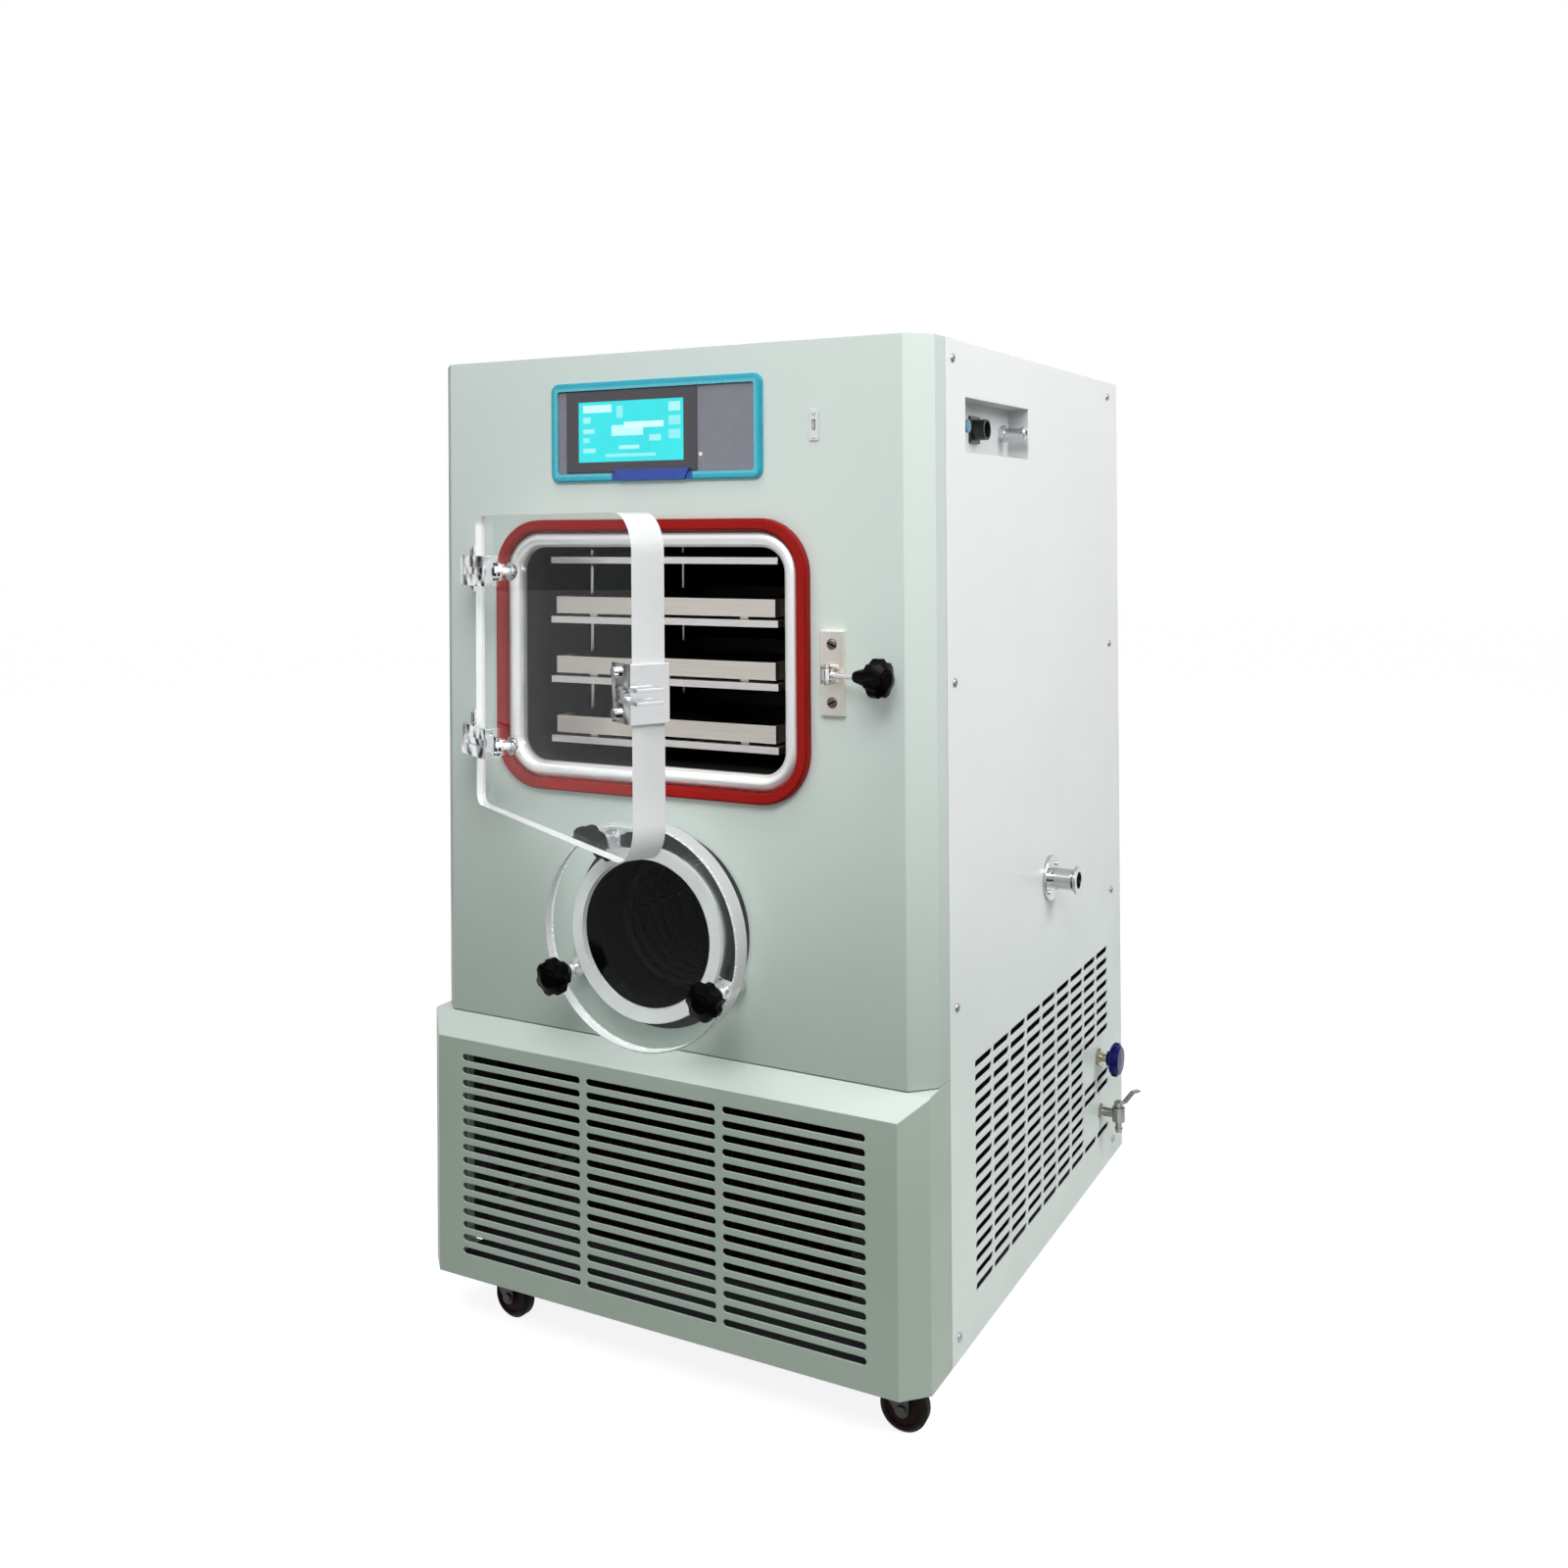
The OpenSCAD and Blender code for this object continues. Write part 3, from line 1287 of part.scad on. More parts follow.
module castor_wheel(i) {
    w = wheel_w / 2;
    r = wheel_r;
    color([0.07, 0.07, 0.07]) castor_place(i) translate([castor_trail, 0, r]) rotate([90, 0, 0])
        rotate_extrude() polygon([[axle_r + run, -w], [10, -w], [11, 3 - w], [r - 10, 3 - w], [r - 9, 1 - w],
            [r - 5, 1 - w], [r, 6 - w], [r, w - 6], [r - 5, w - 1], [r - 9, w - 1], [r - 10, w - 3],
            [11, w - 3], [10, w], [axle_r + run, w]]);
}

module castor_fork_1() { castor_fork(0); }
module castor_fork_2() { castor_fork(1); }
module castor_fork_3() { castor_fork(2); }
module castor_fork_4() { castor_fork(3); }
module castor_wheel_1() { castor_wheel(0); }
module castor_wheel_2() { castor_wheel(1); }
module castor_wheel_3() { castor_wheel(2); }
module castor_wheel_4() { castor_wheel(3); }

chassis();
front_panel();
lower_front();
side_panel_right();
side_panel_left();
rear_panel();
top_cover();
screws();
drying_chamber();
chamber_gasket();
shelf_1();
shelf_2();
shelf_3();
shelf_4();
shelf_rods();
tray_1();
tray_2();
tray_3();
trap_can();
trap_coil();
trap_collar();
trap_seals();
trap_studs();
trap_lid();
trap_washers();
trap_knob_1();
trap_knob_2();
trap_knob_3();
chamber_door();
hinge_brackets();
hinge_arms();
door_bolts();
door_catch();
latch_plate();
latch_bolt();
latch_knob();
display_frame();
display_panel();
touch_screen();
data_port();
connector_recess();
recess_fittings();
vacuum_port();
vent_valve();
vent_knob();
drain_tap();
drain_lever();
compressor();
condenser_unit();
condenser_fan();
cord_gland();
castor_fork_1();
castor_fork_2();
castor_fork_3();
castor_fork_4();
castor_wheel_1();
castor_wheel_2();
castor_wheel_3();
castor_wheel_4();
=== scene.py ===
"""Freeze dryer: materials, small parts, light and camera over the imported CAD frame."""
import json
import math

import bmesh
import bpy
from mathutils import Matrix, Vector


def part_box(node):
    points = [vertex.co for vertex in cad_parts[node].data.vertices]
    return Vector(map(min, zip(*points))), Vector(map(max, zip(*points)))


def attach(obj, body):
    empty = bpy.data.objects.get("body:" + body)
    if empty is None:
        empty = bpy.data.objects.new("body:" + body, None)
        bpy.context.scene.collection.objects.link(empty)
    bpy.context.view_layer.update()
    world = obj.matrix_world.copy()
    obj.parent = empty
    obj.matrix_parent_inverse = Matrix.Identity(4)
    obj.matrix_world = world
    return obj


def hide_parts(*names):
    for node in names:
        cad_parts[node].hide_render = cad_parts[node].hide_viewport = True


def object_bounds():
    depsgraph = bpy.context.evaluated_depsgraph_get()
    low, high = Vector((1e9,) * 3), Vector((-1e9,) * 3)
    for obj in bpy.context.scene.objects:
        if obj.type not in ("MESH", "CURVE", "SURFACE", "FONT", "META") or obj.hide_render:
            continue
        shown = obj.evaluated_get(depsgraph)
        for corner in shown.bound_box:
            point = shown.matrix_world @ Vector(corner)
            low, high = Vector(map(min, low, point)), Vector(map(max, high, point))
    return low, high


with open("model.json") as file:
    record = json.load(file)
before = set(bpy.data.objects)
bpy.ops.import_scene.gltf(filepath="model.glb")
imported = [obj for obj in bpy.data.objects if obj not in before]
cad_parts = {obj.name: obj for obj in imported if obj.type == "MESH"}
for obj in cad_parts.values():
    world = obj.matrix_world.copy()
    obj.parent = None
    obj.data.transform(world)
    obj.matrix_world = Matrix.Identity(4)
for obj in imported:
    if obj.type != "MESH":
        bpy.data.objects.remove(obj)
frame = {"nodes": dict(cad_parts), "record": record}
NODES = frame["nodes"]
CAD_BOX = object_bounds()
SLOTS = {part["node"]: part["material_slot"] for part in frame["record"]["subparts"]}

# the photograph's standpoint: place in metres, turns in degrees, lens and sensor in millimetres
PHOTO_PLACE = (1.0561, -1.9428, 1.1201)
PHOTO_HEADING, PHOTO_PITCH, PHOTO_ROLL = 28.115, 90.362, -0.381
PHOTO_LENS, PHOTO_SENSOR = 34.81, 36
PHOTO_SHIFT = (0.0027, -0.1711)

# standing black cards: x, y, degrees that the card is turned about Z, and width
CARD_HEIGHT = 2.6
STANDING_CARDS = [
    (-2.6, -1.7, 50, 2.6), (-0.35, -3.4, 6, 0.8), (2.4, -2.6, -40, 1.1), (3.2, 1.6, -105, 1.2),
    (-2.5, -0.85, 90, 0.5), (-2.5, -0.2, 90, 0.45), (-2.5, 0.35, 90, 0.3), (-2.5, 0.9, 90, 0.4),
]
# black cards that lie just over the floor: x from and to, y from and to
LYING_CARDS = [(-4.0, 2.4, -4.5, -0.75), (0.9, 3.5, -0.7, 1.6)]
CARD_LIFT = 0.002

# area lamps: name, place, what it points at, width and height, and power in watts
LAMPS = [
    ("key", (0.9, -2.2, 2.6), (0.1, -0.25, 1.15), (1.6, 1.0), 50),
    ("side", (2.9, 0.1, 2.8), (0.35, 0.1, 1.1), (1.6, 1.8), 72),
    ("top", (-0.2, -0.9, 3.3), (-0.1, -0.25, 0.7), (1.8, 1.2), 32),
]

GREEN = (0.560, 0.625, 0.592)
OFF_WHITE = (0.770, 0.785, 0.785)
BEZEL = (0.030, 0.028, 0.038)
PORT_WHITE = (0.60, 0.61, 0.61)


def put(tree, socket, value):
    """Links a node's output to the socket, or sets the socket to a number or a colour."""
    if isinstance(value, bpy.types.NodeSocket):
        tree.links.new(value, socket)
    elif isinstance(value, (tuple, list, Vector)):
        full = (*value, 1.0)
        socket.default_value = full[:len(socket.default_value)]
    else:
        socket.default_value = value


# ---------- camera, light and floor ----------

def camera():
    """The photograph's view: nearly level, with a shifted lens, so that the uprights stay parallel."""
    data = bpy.data.cameras.new("photo_camera")
    data.lens, data.sensor_width = PHOTO_LENS, PHOTO_SENSOR
    data.shift_x, data.shift_y = PHOTO_SHIFT
    data.clip_start, data.clip_end = 0.05, 60
    cam = bpy.data.objects.new("photo_camera", data)
    cam.location = PHOTO_PLACE
    turn = Matrix.Identity(3)
    for angle, axis in ((PHOTO_HEADING, "Z"), (PHOTO_PITCH, "X"), (PHOTO_ROLL, "Z")):
        turn = turn @ Matrix.Rotation(math.radians(angle), 3, axis)
    cam.rotation_euler = turn.to_euler()
    bpy.context.scene.collection.objects.link(cam)
    bpy.context.scene.camera = cam


def plate(name, corners):
    mesh = bpy.data.meshes.new(name)
    mesh.from_pydata([Vector(c) for c in corners], [], [(0, 1, 2, 3)])
    obj = bpy.data.objects.new(name, mesh)
    bpy.context.scene.collection.objects.link(obj)
    return obj


def card(name, corners, material):
    """A card that only mirrored rays see."""
    obj = plate(name, corners)
    obj.data.materials.append(material)
    obj.visible_camera = obj.visible_diffuse = obj.visible_shadow = obj.visible_transmission = False


def lamp(name, place, target, size, power):
    data = bpy.data.lights.new(name, "AREA")
    data.shape, data.size, data.size_y, data.energy = "RECTANGLE", size[0], size[1], power
    obj = bpy.data.objects.new(name, data)
    obj.location = place
    obj.rotation_euler = (Vector(target) - Vector(place)).to_track_quat("-Z", "Y").to_euler()
    bpy.context.scene.collection.objects.link(obj)


def seen_rays(tree, dim):
    """1 for the rays that show the background: straight from the camera, mirrored, or through clear plastic.
    What a clear plate mirrors inside itself on the way through is dimmed by the share dim, as a dark room
    would leave it."""
    rays = tree.nodes.new("ShaderNodeLightPath")

    def calc(operation, a, b):
        made = tree.nodes.new("ShaderNodeMath")
        made.operation = operation
        put(tree, made.inputs[0], a)
        put(tree, made.inputs[1], b)
        return made.outputs[0]

    mirrored = calc("GREATER_THAN", rays.outputs["Glossy Depth"], 0.5)
    inner = calc("MULTIPLY", calc("MULTIPLY", rays.outputs["Is Transmission Ray"], mirrored), dim)
    bounced = calc("MAXIMUM", rays.outputs["Is Glossy Ray"], rays.outputs["Is Transmission Ray"])
    shown = calc("MULTIPLY", bounced, calc("SUBTRACT", 1.0, inner))
    return calc("MAXIMUM", rays.outputs["Is Camera Ray"], shown)


def surroundings():
    """Even pale light all round, and white where the background shows."""
    world = bpy.data.worlds.new("studio")
    world.use_nodes = True
    bpy.context.scene.world = world
    tree = world.node_tree
    tree.nodes.clear()
    towards = tree.nodes.new("ShaderNodeSeparateXYZ")
    tree.links.new(tree.nodes.new("ShaderNodeTexCoord").outputs["Generated"], towards.inputs[0])
    left = tree.nodes.new("ShaderNodeMapRange")
    left.inputs["From Min"].default_value = -0.80
    left.inputs["From Max"].default_value = -0.92
    tree.links.new(towards.outputs["X"], left.inputs["Value"])
    seen = seen_rays(tree, left.outputs[0])
    ambient = tree.nodes.new("ShaderNodeBackground")
    ambient.inputs["Color"].default_value = (0.97, 0.99, 1.0, 1)
    ambient.inputs["Strength"].default_value = 0.28
    white = tree.nodes.new("ShaderNodeBackground")
    white.inputs["Color"].default_value = (1, 1, 1, 1)
    either = tree.nodes.new("ShaderNodeMixShader")
    tree.links.new(seen, either.inputs[0])
    tree.links.new(ambient.outputs[0], either.inputs[1])
    tree.links.new(white.outputs[0], either.inputs[2])
    out = tree.nodes.new("ShaderNodeOutputWorld")
    tree.links.new(either.outputs[0], out.inputs[0])


def pale_floor():
    """A matt floor that keeps the shadow and is lifted to white where it is seen."""
    half = 25
    floor = plate("floor", [(-half, -half, 0), (half, -half, 0), (half, half, 0), (-half, half, 0)])
    mat = bpy.data.materials.new("floor")
    mat.use_nodes = True
    tree = mat.node_tree
    bsdf = tree.nodes["Principled BSDF"]
    bsdf.inputs["Base Color"].default_value = (0.34, 0.34, 0.34, 1)
    bsdf.inputs["Roughness"].default_value = 0.9
    bsdf.inputs["Specular IOR Level"].default_value = 0.1
    lift = tree.nodes.new("ShaderNodeMath")
    lift.operation = "MULTIPLY"
    lift.inputs[1].default_value = 0.87
    bsdf.inputs["Emission Color"].default_value = (1, 1, 1, 1)
    tree.links.new(seen_rays(tree, 0.55), lift.inputs[0])
    tree.links.new(lift.outputs[0], bsdf.inputs["Emission Strength"])
    floor.data.materials.append(mat)


def dark_cards():
    """Black cards for the mirrored rays, so that chrome shows dark bands and clear plastic stays clear."""
    dark = bpy.data.materials.new("card")
    dark.use_nodes = True
    bsdf = dark.node_tree.nodes["Principled BSDF"]
    bsdf.inputs["Base Color"].default_value = (0.004, 0.004, 0.004, 1)
    bsdf.inputs["Specular IOR Level"].default_value = 0.0
    up = Vector((0, 0, CARD_HEIGHT))
    for i, (x, y, degrees, width) in enumerate(STANDING_CARDS):
        turn = math.radians(degrees)
        side = Vector((math.cos(turn), math.sin(turn), 0)) * width / 2
        at = Vector((x, y, 0))
        card(f"card_{i}", [at - side, at + side, at + side + up, at - side + up], dark)
    for i, (x0, x1, y0, y1) in enumerate(LYING_CARDS):
        corners = [(x, y, CARD_LIFT) for x, y in ((x0, y0), (x1, y0), (x1, y1), (x0, y1))]
        card(f"card_low_{i}", corners, dark)


def studio():
    bpy.context.scene.view_settings.view_transform = "Standard"
    surroundings()
    pale_floor()
    dark_cards()
    for settings in LAMPS:
        lamp(*settings)


# ---------- materials ----------

class Finish:
    """One material: a Principled shader and the nodes that feed it, all in the part's own coordinates."""

    def __init__(self, name, **sockets):
        self.mat = bpy.data.materials.new(name)
        self.mat.use_nodes = True
        self.tree = self.mat.node_tree
        self.bsdf = self.tree.nodes["Principled BSDF"]
        self.coords = self.tree.nodes.new("ShaderNodeTexCoord")
        self.split = self.node("ShaderNodeSeparateXYZ", {0: self.coords.outputs["Object"]})
        self.relief = None
        self.grain = None
        for socket, value in sockets.items():
            self.set(socket.replace("_", " "), value)

    def set(self, socket, value):
        put(self.tree, self.bsdf.inputs[socket], value)

    def node(self, kind, inputs=None, **settings):
        made = self.tree.nodes.new(kind)
        for key, value in settings.items():
            setattr(made, key, value)
        for key, value in (inputs or {}).items():
            put(self.tree, made.inputs[key], value)
        return made

    def calc(self, operation, a, b=0.0):
        return self.node("ShaderNodeMath", {0: a, 1: b}, operation=operation).outputs[0]

    def mix(self, share, a, b):
        node = self.node("ShaderNodeMix", {0: share}, data_type="RGBA")
        put(self.tree, node.inputs[6], a)
        put(self.tree, node.inputs[7], b)
        return node.outputs[2]

    def remap(self, value, from_low, from_high, to_low=0.0, to_high=1.0, smooth=False):
        inputs = {0: value, 1: from_low, 2: from_high, 3: to_low, 4: to_high}
        kind = "SMOOTHSTEP" if smooth else "LINEAR"
        return self.node("ShaderNodeMapRange", inputs, interpolation_type=kind).outputs[0]

    def length(self, a, b):
        """The length of the two sides a and b of a right angle."""
        squares = self.calc("ADD", self.calc("MULTIPLY", a, a), self.calc("MULTIPLY", b, b))
        return self.calc("SQRT", squares)

    def noise(self, scale, stretch=(1, 1, 1), detail=2.0, rough=0.5):
        place = self.node("ShaderNodeVectorMath", {0: self.coords.outputs["Object"], 1: stretch},
                          operation="MULTIPLY").outputs[0]
        return self.node("ShaderNodeTexNoise", {"Vector": place, "Scale": scale, "Detail": detail,
                                                "Roughness": rough}).outputs[0]

    def inside(self, soft=0.0004, **ranges):
        """1 inside the given ranges of x, y and z, 0 outside."""
        share = None
        for axis, (low, high) in ranges.items():
            value = self.split.outputs["xyz".index(axis)]
            for edge, sign in ((low, 1), (high, -1)):
                if edge is None:
                    continue
                step = self.remap(value, edge - soft * sign, edge + soft * sign)
                share = step if share is None else self.calc("MULTIPLY", share, step)
        return share

    def facing(self, direction):
        """How far a face looks along direction, 0 to 1, in the part's own coordinates."""
        dot = self.node("ShaderNodeVectorMath", {0: self.coords.outputs["Normal"], 1: direction},
                        operation="DOT_PRODUCT").outputs["Value"]
        return self.calc("ABSOLUTE", dot)

    def edges(self, radius=0.0012):
        """Rounds the edges that the light sees and gives a mask of them."""
        bevel = self.node("ShaderNodeBevel", {"Radius": radius}, samples=4)
        geometry = self.node("ShaderNodeNewGeometry")
        dot = self.node("ShaderNodeVectorMath", {0: bevel.outputs[0], 1: geometry.outputs["Normal"]},
                        operation="DOT_PRODUCT").outputs["Value"]
        self.relief = bevel.outputs[0]
        self.set("Normal", self.relief)
        return self.remap(dot, 0.999, 0.9, 0.0, 1.0)

    def bump(self, height, distance, strength=1.0):
        inputs = {"Strength": strength, "Distance": distance, "Height": height}
        if self.relief is not None:
            inputs["Normal"] = self.relief
        self.relief = self.node("ShaderNodeBump", inputs).outputs["Normal"]
        self.set("Normal", self.relief)


def shade(color, factor):
    return tuple(min(1.0, c * factor) for c in color)


def paint(name, color, rough=0.42, peel=0.00012, low=(1, 1, 1)):
    """Powder coat: fine orange peel, faint clouds of tone, paler rubbed edges and a little dust low down.
    low is the painted shade that its upright faces take near the floor, as a share of its own colour."""
    f = Finish(name, IOR=1.48)
    clouds = f.noise(3.0, detail=3.0)
    speck = f.noise(420.0, detail=1.0)
    tone = f.mix(clouds, shade(color, 0.965), shade(color, 1.03))
    tone = f.mix(f.remap(speck, 0.62, 0.80, 0.0, 0.22), tone, shade(color, 1.12))
    # painted shade: upright faces go darker towards the floor, where less light falls
    if low != (1, 1, 1):
        painted_floor_shade = tuple(c * share for c, share in zip(color, low))
        upright = f.remap(f.facing((0.0, 0.0, 1.0)), 0.80, 0.30, 0.1, 1.0)
        share = f.calc("MULTIPLY", upright, f.remap(f.split.outputs[2], 0.95, 0.20, smooth=True))
        tone = f.mix(share, tone, f.mix(clouds, shade(painted_floor_shade, 0.96), shade(painted_floor_shade, 1.04)))
    wear = f.edges(0.0016)
    tone = f.mix(f.calc("MULTIPLY", wear, 0.35), tone, shade(color, 1.14))
    settled = f.remap(f.split.outputs[2], 0.30, 0.07)
    dust = f.calc("MULTIPLY", settled, f.remap(clouds, 0.35, 0.75, 0.03, 0.12))
    tone = f.mix(dust, tone, tuple(c * 0.5 + 0.16 for c in color))
    f.set("Base Color", tone)
    f.set("Roughness", f.remap(f.noise(14.0, detail=3.0), 0.3, 0.7, rough - 0.05, rough + 0.06))
    f.bump(f.noise(620.0, detail=2.0), peel, 0.55)
    return f


def brushed(name, color, rough=0.30, along="x", lines=900.0, depth=0.00004, wear=1.15, metal=1.0):
    """Brushed or turned metal: long fine scratches along one axis. With metal below 1 it is matt and loses
    its shine, for near-black parts that stand as painted shade.
    """
    stretch = {"x": (0.02, 1, 1), "y": (1, 0.02, 1), "z": (1, 1, 0.02)}[along]
    f = Finish(name, Metallic=metal, Specular_IOR_Level=0.02 if metal < 1.0 else 0.5)
    grain = f.grain = f.noise(lines, stretch, detail=3.0, rough=0.6)
    smudge = f.noise(18.0, detail=4.0, rough=0.6)
    tone = f.mix(grain, shade(color, 0.90), shade(color, 1.06))
    edge = f.edges(0.0008)
    f.set("Base Color", f.mix(f.calc("MULTIPLY", edge, 0.5), tone, shade(color, wear)))
    f.set("Roughness", f.calc("ADD", f.remap(grain, 0.3, 0.7, rough - 0.06, rough + 0.06),
                              f.remap(smudge, 0.5, 0.8, 0.0, 0.10)))
    f.bump(grain, depth, 0.6)
    return f


def chrome(name, color=(0.80, 0.81, 0.83), rough=0.06):
    """Polished plating: faint smudges and pits, and the gentle waves that hand polishing leaves."""
    f = Finish(name, Metallic=1.0)
    smudge = f.noise(60.0, detail=4.0, rough=0.65)
    pits = f.noise(900.0, detail=1.0)
    edge = f.edges(0.0010)
    f.set("Base Color", f.mix(f.remap(pits, 0.68, 0.80, 0.0, 0.4), color, shade(color, 0.6)))
    f.set("Roughness", f.calc("ADD", f.remap(smudge, 0.45, 0.8, rough, rough + 0.16),
                              f.calc("MULTIPLY", edge, 0.05)))
    f.bump(f.noise(26.0, detail=1.0), 0.0016, 0.6)
    f.bump(smudge, 0.00006, 0.25)
    return f


def plastic(name, color, rough=0.35, grain=900.0, depth=0.00003, coat=0.0, shine=0.5):
    """Moulded plastic: a fine spark-eroded grain, and a little gloss on rubbed edges."""
    f = Finish(name, IOR=1.5, Coat_Weight=coat, Coat_Roughness=0.08, Specular_IOR_Level=shine)
    mottle = f.noise(40.0, detail=3.0)
    edge = f.edges(0.0012)
    tone = f.mix(mottle, shade(color, 0.88), shade(color, 1.12))
    rubbed = tuple(min(1.0, c * 1.2 + 0.008) for c in color)
    f.set("Base Color", f.mix(f.calc("MULTIPLY", edge, 0.3), tone, rubbed))
    f.set("Roughness", f.calc("SUBTRACT", f.remap(mottle, 0.3, 0.7, rough - 0.05, rough + 0.07),
                              f.calc("MULTIPLY", edge, 0.06)))
    f.bump(f.noise(grain, detail=2.0), depth, 0.5)
    return f


def rubber(name, color, rough=0.55, dusty=0.10, shine=0.35):
    """Silicone or nitrile: matt bloom, fine dust and a soft skin."""
    f = Finish(name, IOR=1.38, Specular_IOR_Level=shine)
    bloom = f.noise(25.0, detail=4.0, rough=0.6)
    dust = f.noise(700.0, detail=1.0)
    tone = f.mix(bloom, shade(color, 0.86), shade(color, 1.10))
    powdered = tuple(c * 0.8 + 0.12 for c in color)
    f.set("Base Color", f.mix(f.remap(dust, 0.70, 0.85, 0.0, dusty), tone, powdered))
    f.set("Roughness", f.remap(bloom, 0.3, 0.7, rough - 0.07, rough + 0.08))
    f.edges(0.0015)
    f.bump(f.noise(320.0, detail=3.0), 0.00008, 0.5)
    return f


def main_normal(obj):
    """The direction that most of a node's surface looks along."""
    found = {}
    for face in obj.data.polygons:
        n = face.normal if face.normal.y <= 0 else -face.normal
        key = tuple(round(c, 2) for c in n)
        found[key] = found.get(key, 0.0) + face.area
    return Vector(max(found, key=found.get)).normalized()


def acrylic(name, normal, tint=(0.965, 0.985, 0.985), cut=0.75):
    """Cast acrylic: clear polished faces with wiping haze, sawn and sanded edges that catch the light."""
    f = Finish(name, IOR=1.49, Specular_Tint=(0.25, 0.26, 0.27))
    edge = f.remap(f.facing(tuple(normal)), 0.90, 0.60, 0.0, 1.0, smooth=True)
    haze = f.noise(9.0, detail=5.0, rough=0.6)
    saw = f.noise(500.0, (0.15, 0.15, 1.0), detail=2.0)
    f.set("Base Color", f.mix(edge, tint, (0.66, 0.675, 0.67)))
    f.set("Transmission Weight", f.remap(edge, 0.0, 1.0, 1.0, 1.0 - cut))
    clear = f.remap(haze, 0.45, 0.8, 0.0, 0.02)
    f.set("Roughness", f.calc("ADD", clear, f.calc("MULTIPLY", edge, f.remap(saw, 0.3, 0.7, 0.30, 0.42))))
    f.bump(f.calc("MULTIPLY", edge, saw), 0.0001, 0.4)
    return f


def dress(node, finish):
    """Puts one finish on a CAD node."""
    slots = NODES[node].data.materials
    slots.clear()
    slots.append(finish.mat)


def steel_chamber():
    """Welded chamber: bright polished rim; the walls inside are painted near black, matt and dull, as
    painted shade.
    """
    front_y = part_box("drying_chamber")[0].y
    f = brushed("chamber_steel", (0.80, 0.80, 0.80), 0.24, "z")
    front = f.inside(0.004, y=(None, front_y + 0.016))
    # painted shade: the inner walls are near black and matt, for the dark inside the chamber
    painted_wall_shade = f.mix(f.noise(12.0, (1, 0.4, 1), detail=4.0), (0.003, 0.003, 0.002), (0.014, 0.011, 0.009))
    f.set("Base Color", f.mix(front, painted_wall_shade, (0.86, 0.86, 0.86)))
    f.set("Metallic", f.remap(front, 0.0, 1.0, 0.0, 0.65))
    f.set("Specular IOR Level", f.remap(front, 0.0, 1.0, 0.02, 0.5))
    f.set("Roughness", f.remap(front, 0.0, 1.0, 0.46, 0.36))
    return f


def trays():
    """Drawn steel trays: bright front walls; darker and duller towards the back as painted shade."""
    f = brushed("tray_steel", (0.50, 0.46, 0.42), 0.34, "x", 700.0)
    front_y = min(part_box(node)[0].y for node, slot in SLOTS.items() if slot == "tray_steel")
    bright = f.mix(f.grain, (0.66, 0.605, 0.55), (0.84, 0.785, 0.73))
    # painted shade: the trays go near black and dull deeper into the chamber
    deep = f.remap(f.split.outputs[1], front_y + 0.004, front_y + 0.045, smooth=True)
    f.set("Base Color", f.mix(deep, bright, (0.030, 0.025, 0.021)))
    f.set("Metallic", f.remap(deep, 0.0, 1.0, 1.0, 0.2))
    return f


def seals():
    """White moulded gasket on the trap's mouth, and the black ring behind its collar."""
    front_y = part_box("trap_seals")[0].y
    f = rubber("seal_rubber", (0.44, 0.45, 0.45), 0.5)
    white = f.inside(0.001, y=(None, front_y + 0.012))
    black_tone = f.mix(f.noise(30.0, detail=3.0), (0.02, 0.02, 0.02), (0.035, 0.035, 0.035))
    white_tone = f.mix(f.noise(20.0, detail=3.0), (0.38, 0.39, 0.39), (0.48, 0.49, 0.49))
    f.set("Base Color", f.mix(white, black_tone, white_tone))
    return f


def latch_steel():
    """Warm brushed plate with two slotted screws, darker than the plate; each screw's slot and a ring round
    its head are painted shade.
    """
    low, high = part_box("latch_plate")
    screw_inset, screw_radius = 0.016, 0.0064
    face_depth, ear_depth = 0.0070, 0.0110
    f = brushed("latch_steel", (0.74, 0.67, 0.60), 0.36, "z")
    plate_tone = f.mix(f.grain, (0.84, 0.78, 0.72), (0.96, 0.90, 0.84))
    dx = f.calc("SUBTRACT", f.split.outputs[0], (low.x + high.x) / 2)
    from_middle = f.calc("ABSOLUTE", f.calc("SUBTRACT", f.split.outputs[2], (low.z + high.z) / 2))
    dz = f.calc("SUBTRACT", from_middle, (high.z - low.z) / 2 - screw_inset)
    away = f.length(dx, dz)
    proud = f.remap(f.split.outputs[1], high.y - face_depth, high.y - face_depth - 0.0004)
    head = f.calc("MULTIPLY", f.remap(away, screw_radius + 0.0002, screw_radius - 0.0002), proud)
    off_slot = f.calc("ABSOLUTE", f.calc("ADD", dz, f.calc("MULTIPLY", dx, 0.5)))
    # painted shade: the slot across each screw head is near black
    steel = f.mix(f.remap(off_slot, 0.0014, 0.0010), (0.16, 0.15, 0.14), (0.010, 0.009, 0.008))
    # painted shade: a dark ring round the edge of each head
    ring = f.remap(f.calc("ABSOLUTE", f.calc("SUBTRACT", away, screw_radius)), 0.0009, 0.0004)
    tone = f.mix(f.calc("MULTIPLY", ring, 0.8), f.mix(head, plate_tone, steel), (0.05, 0.045, 0.04))
    ears = f.remap(f.split.outputs[1], high.y - ear_depth, high.y - ear_depth - 0.0010)
    f.set("Base Color", f.mix(ears, tone, (0.52, 0.49, 0.46)))
    f.set("Roughness", f.remap(ears, 0.0, 1.0, 0.38, 0.16))
    return f


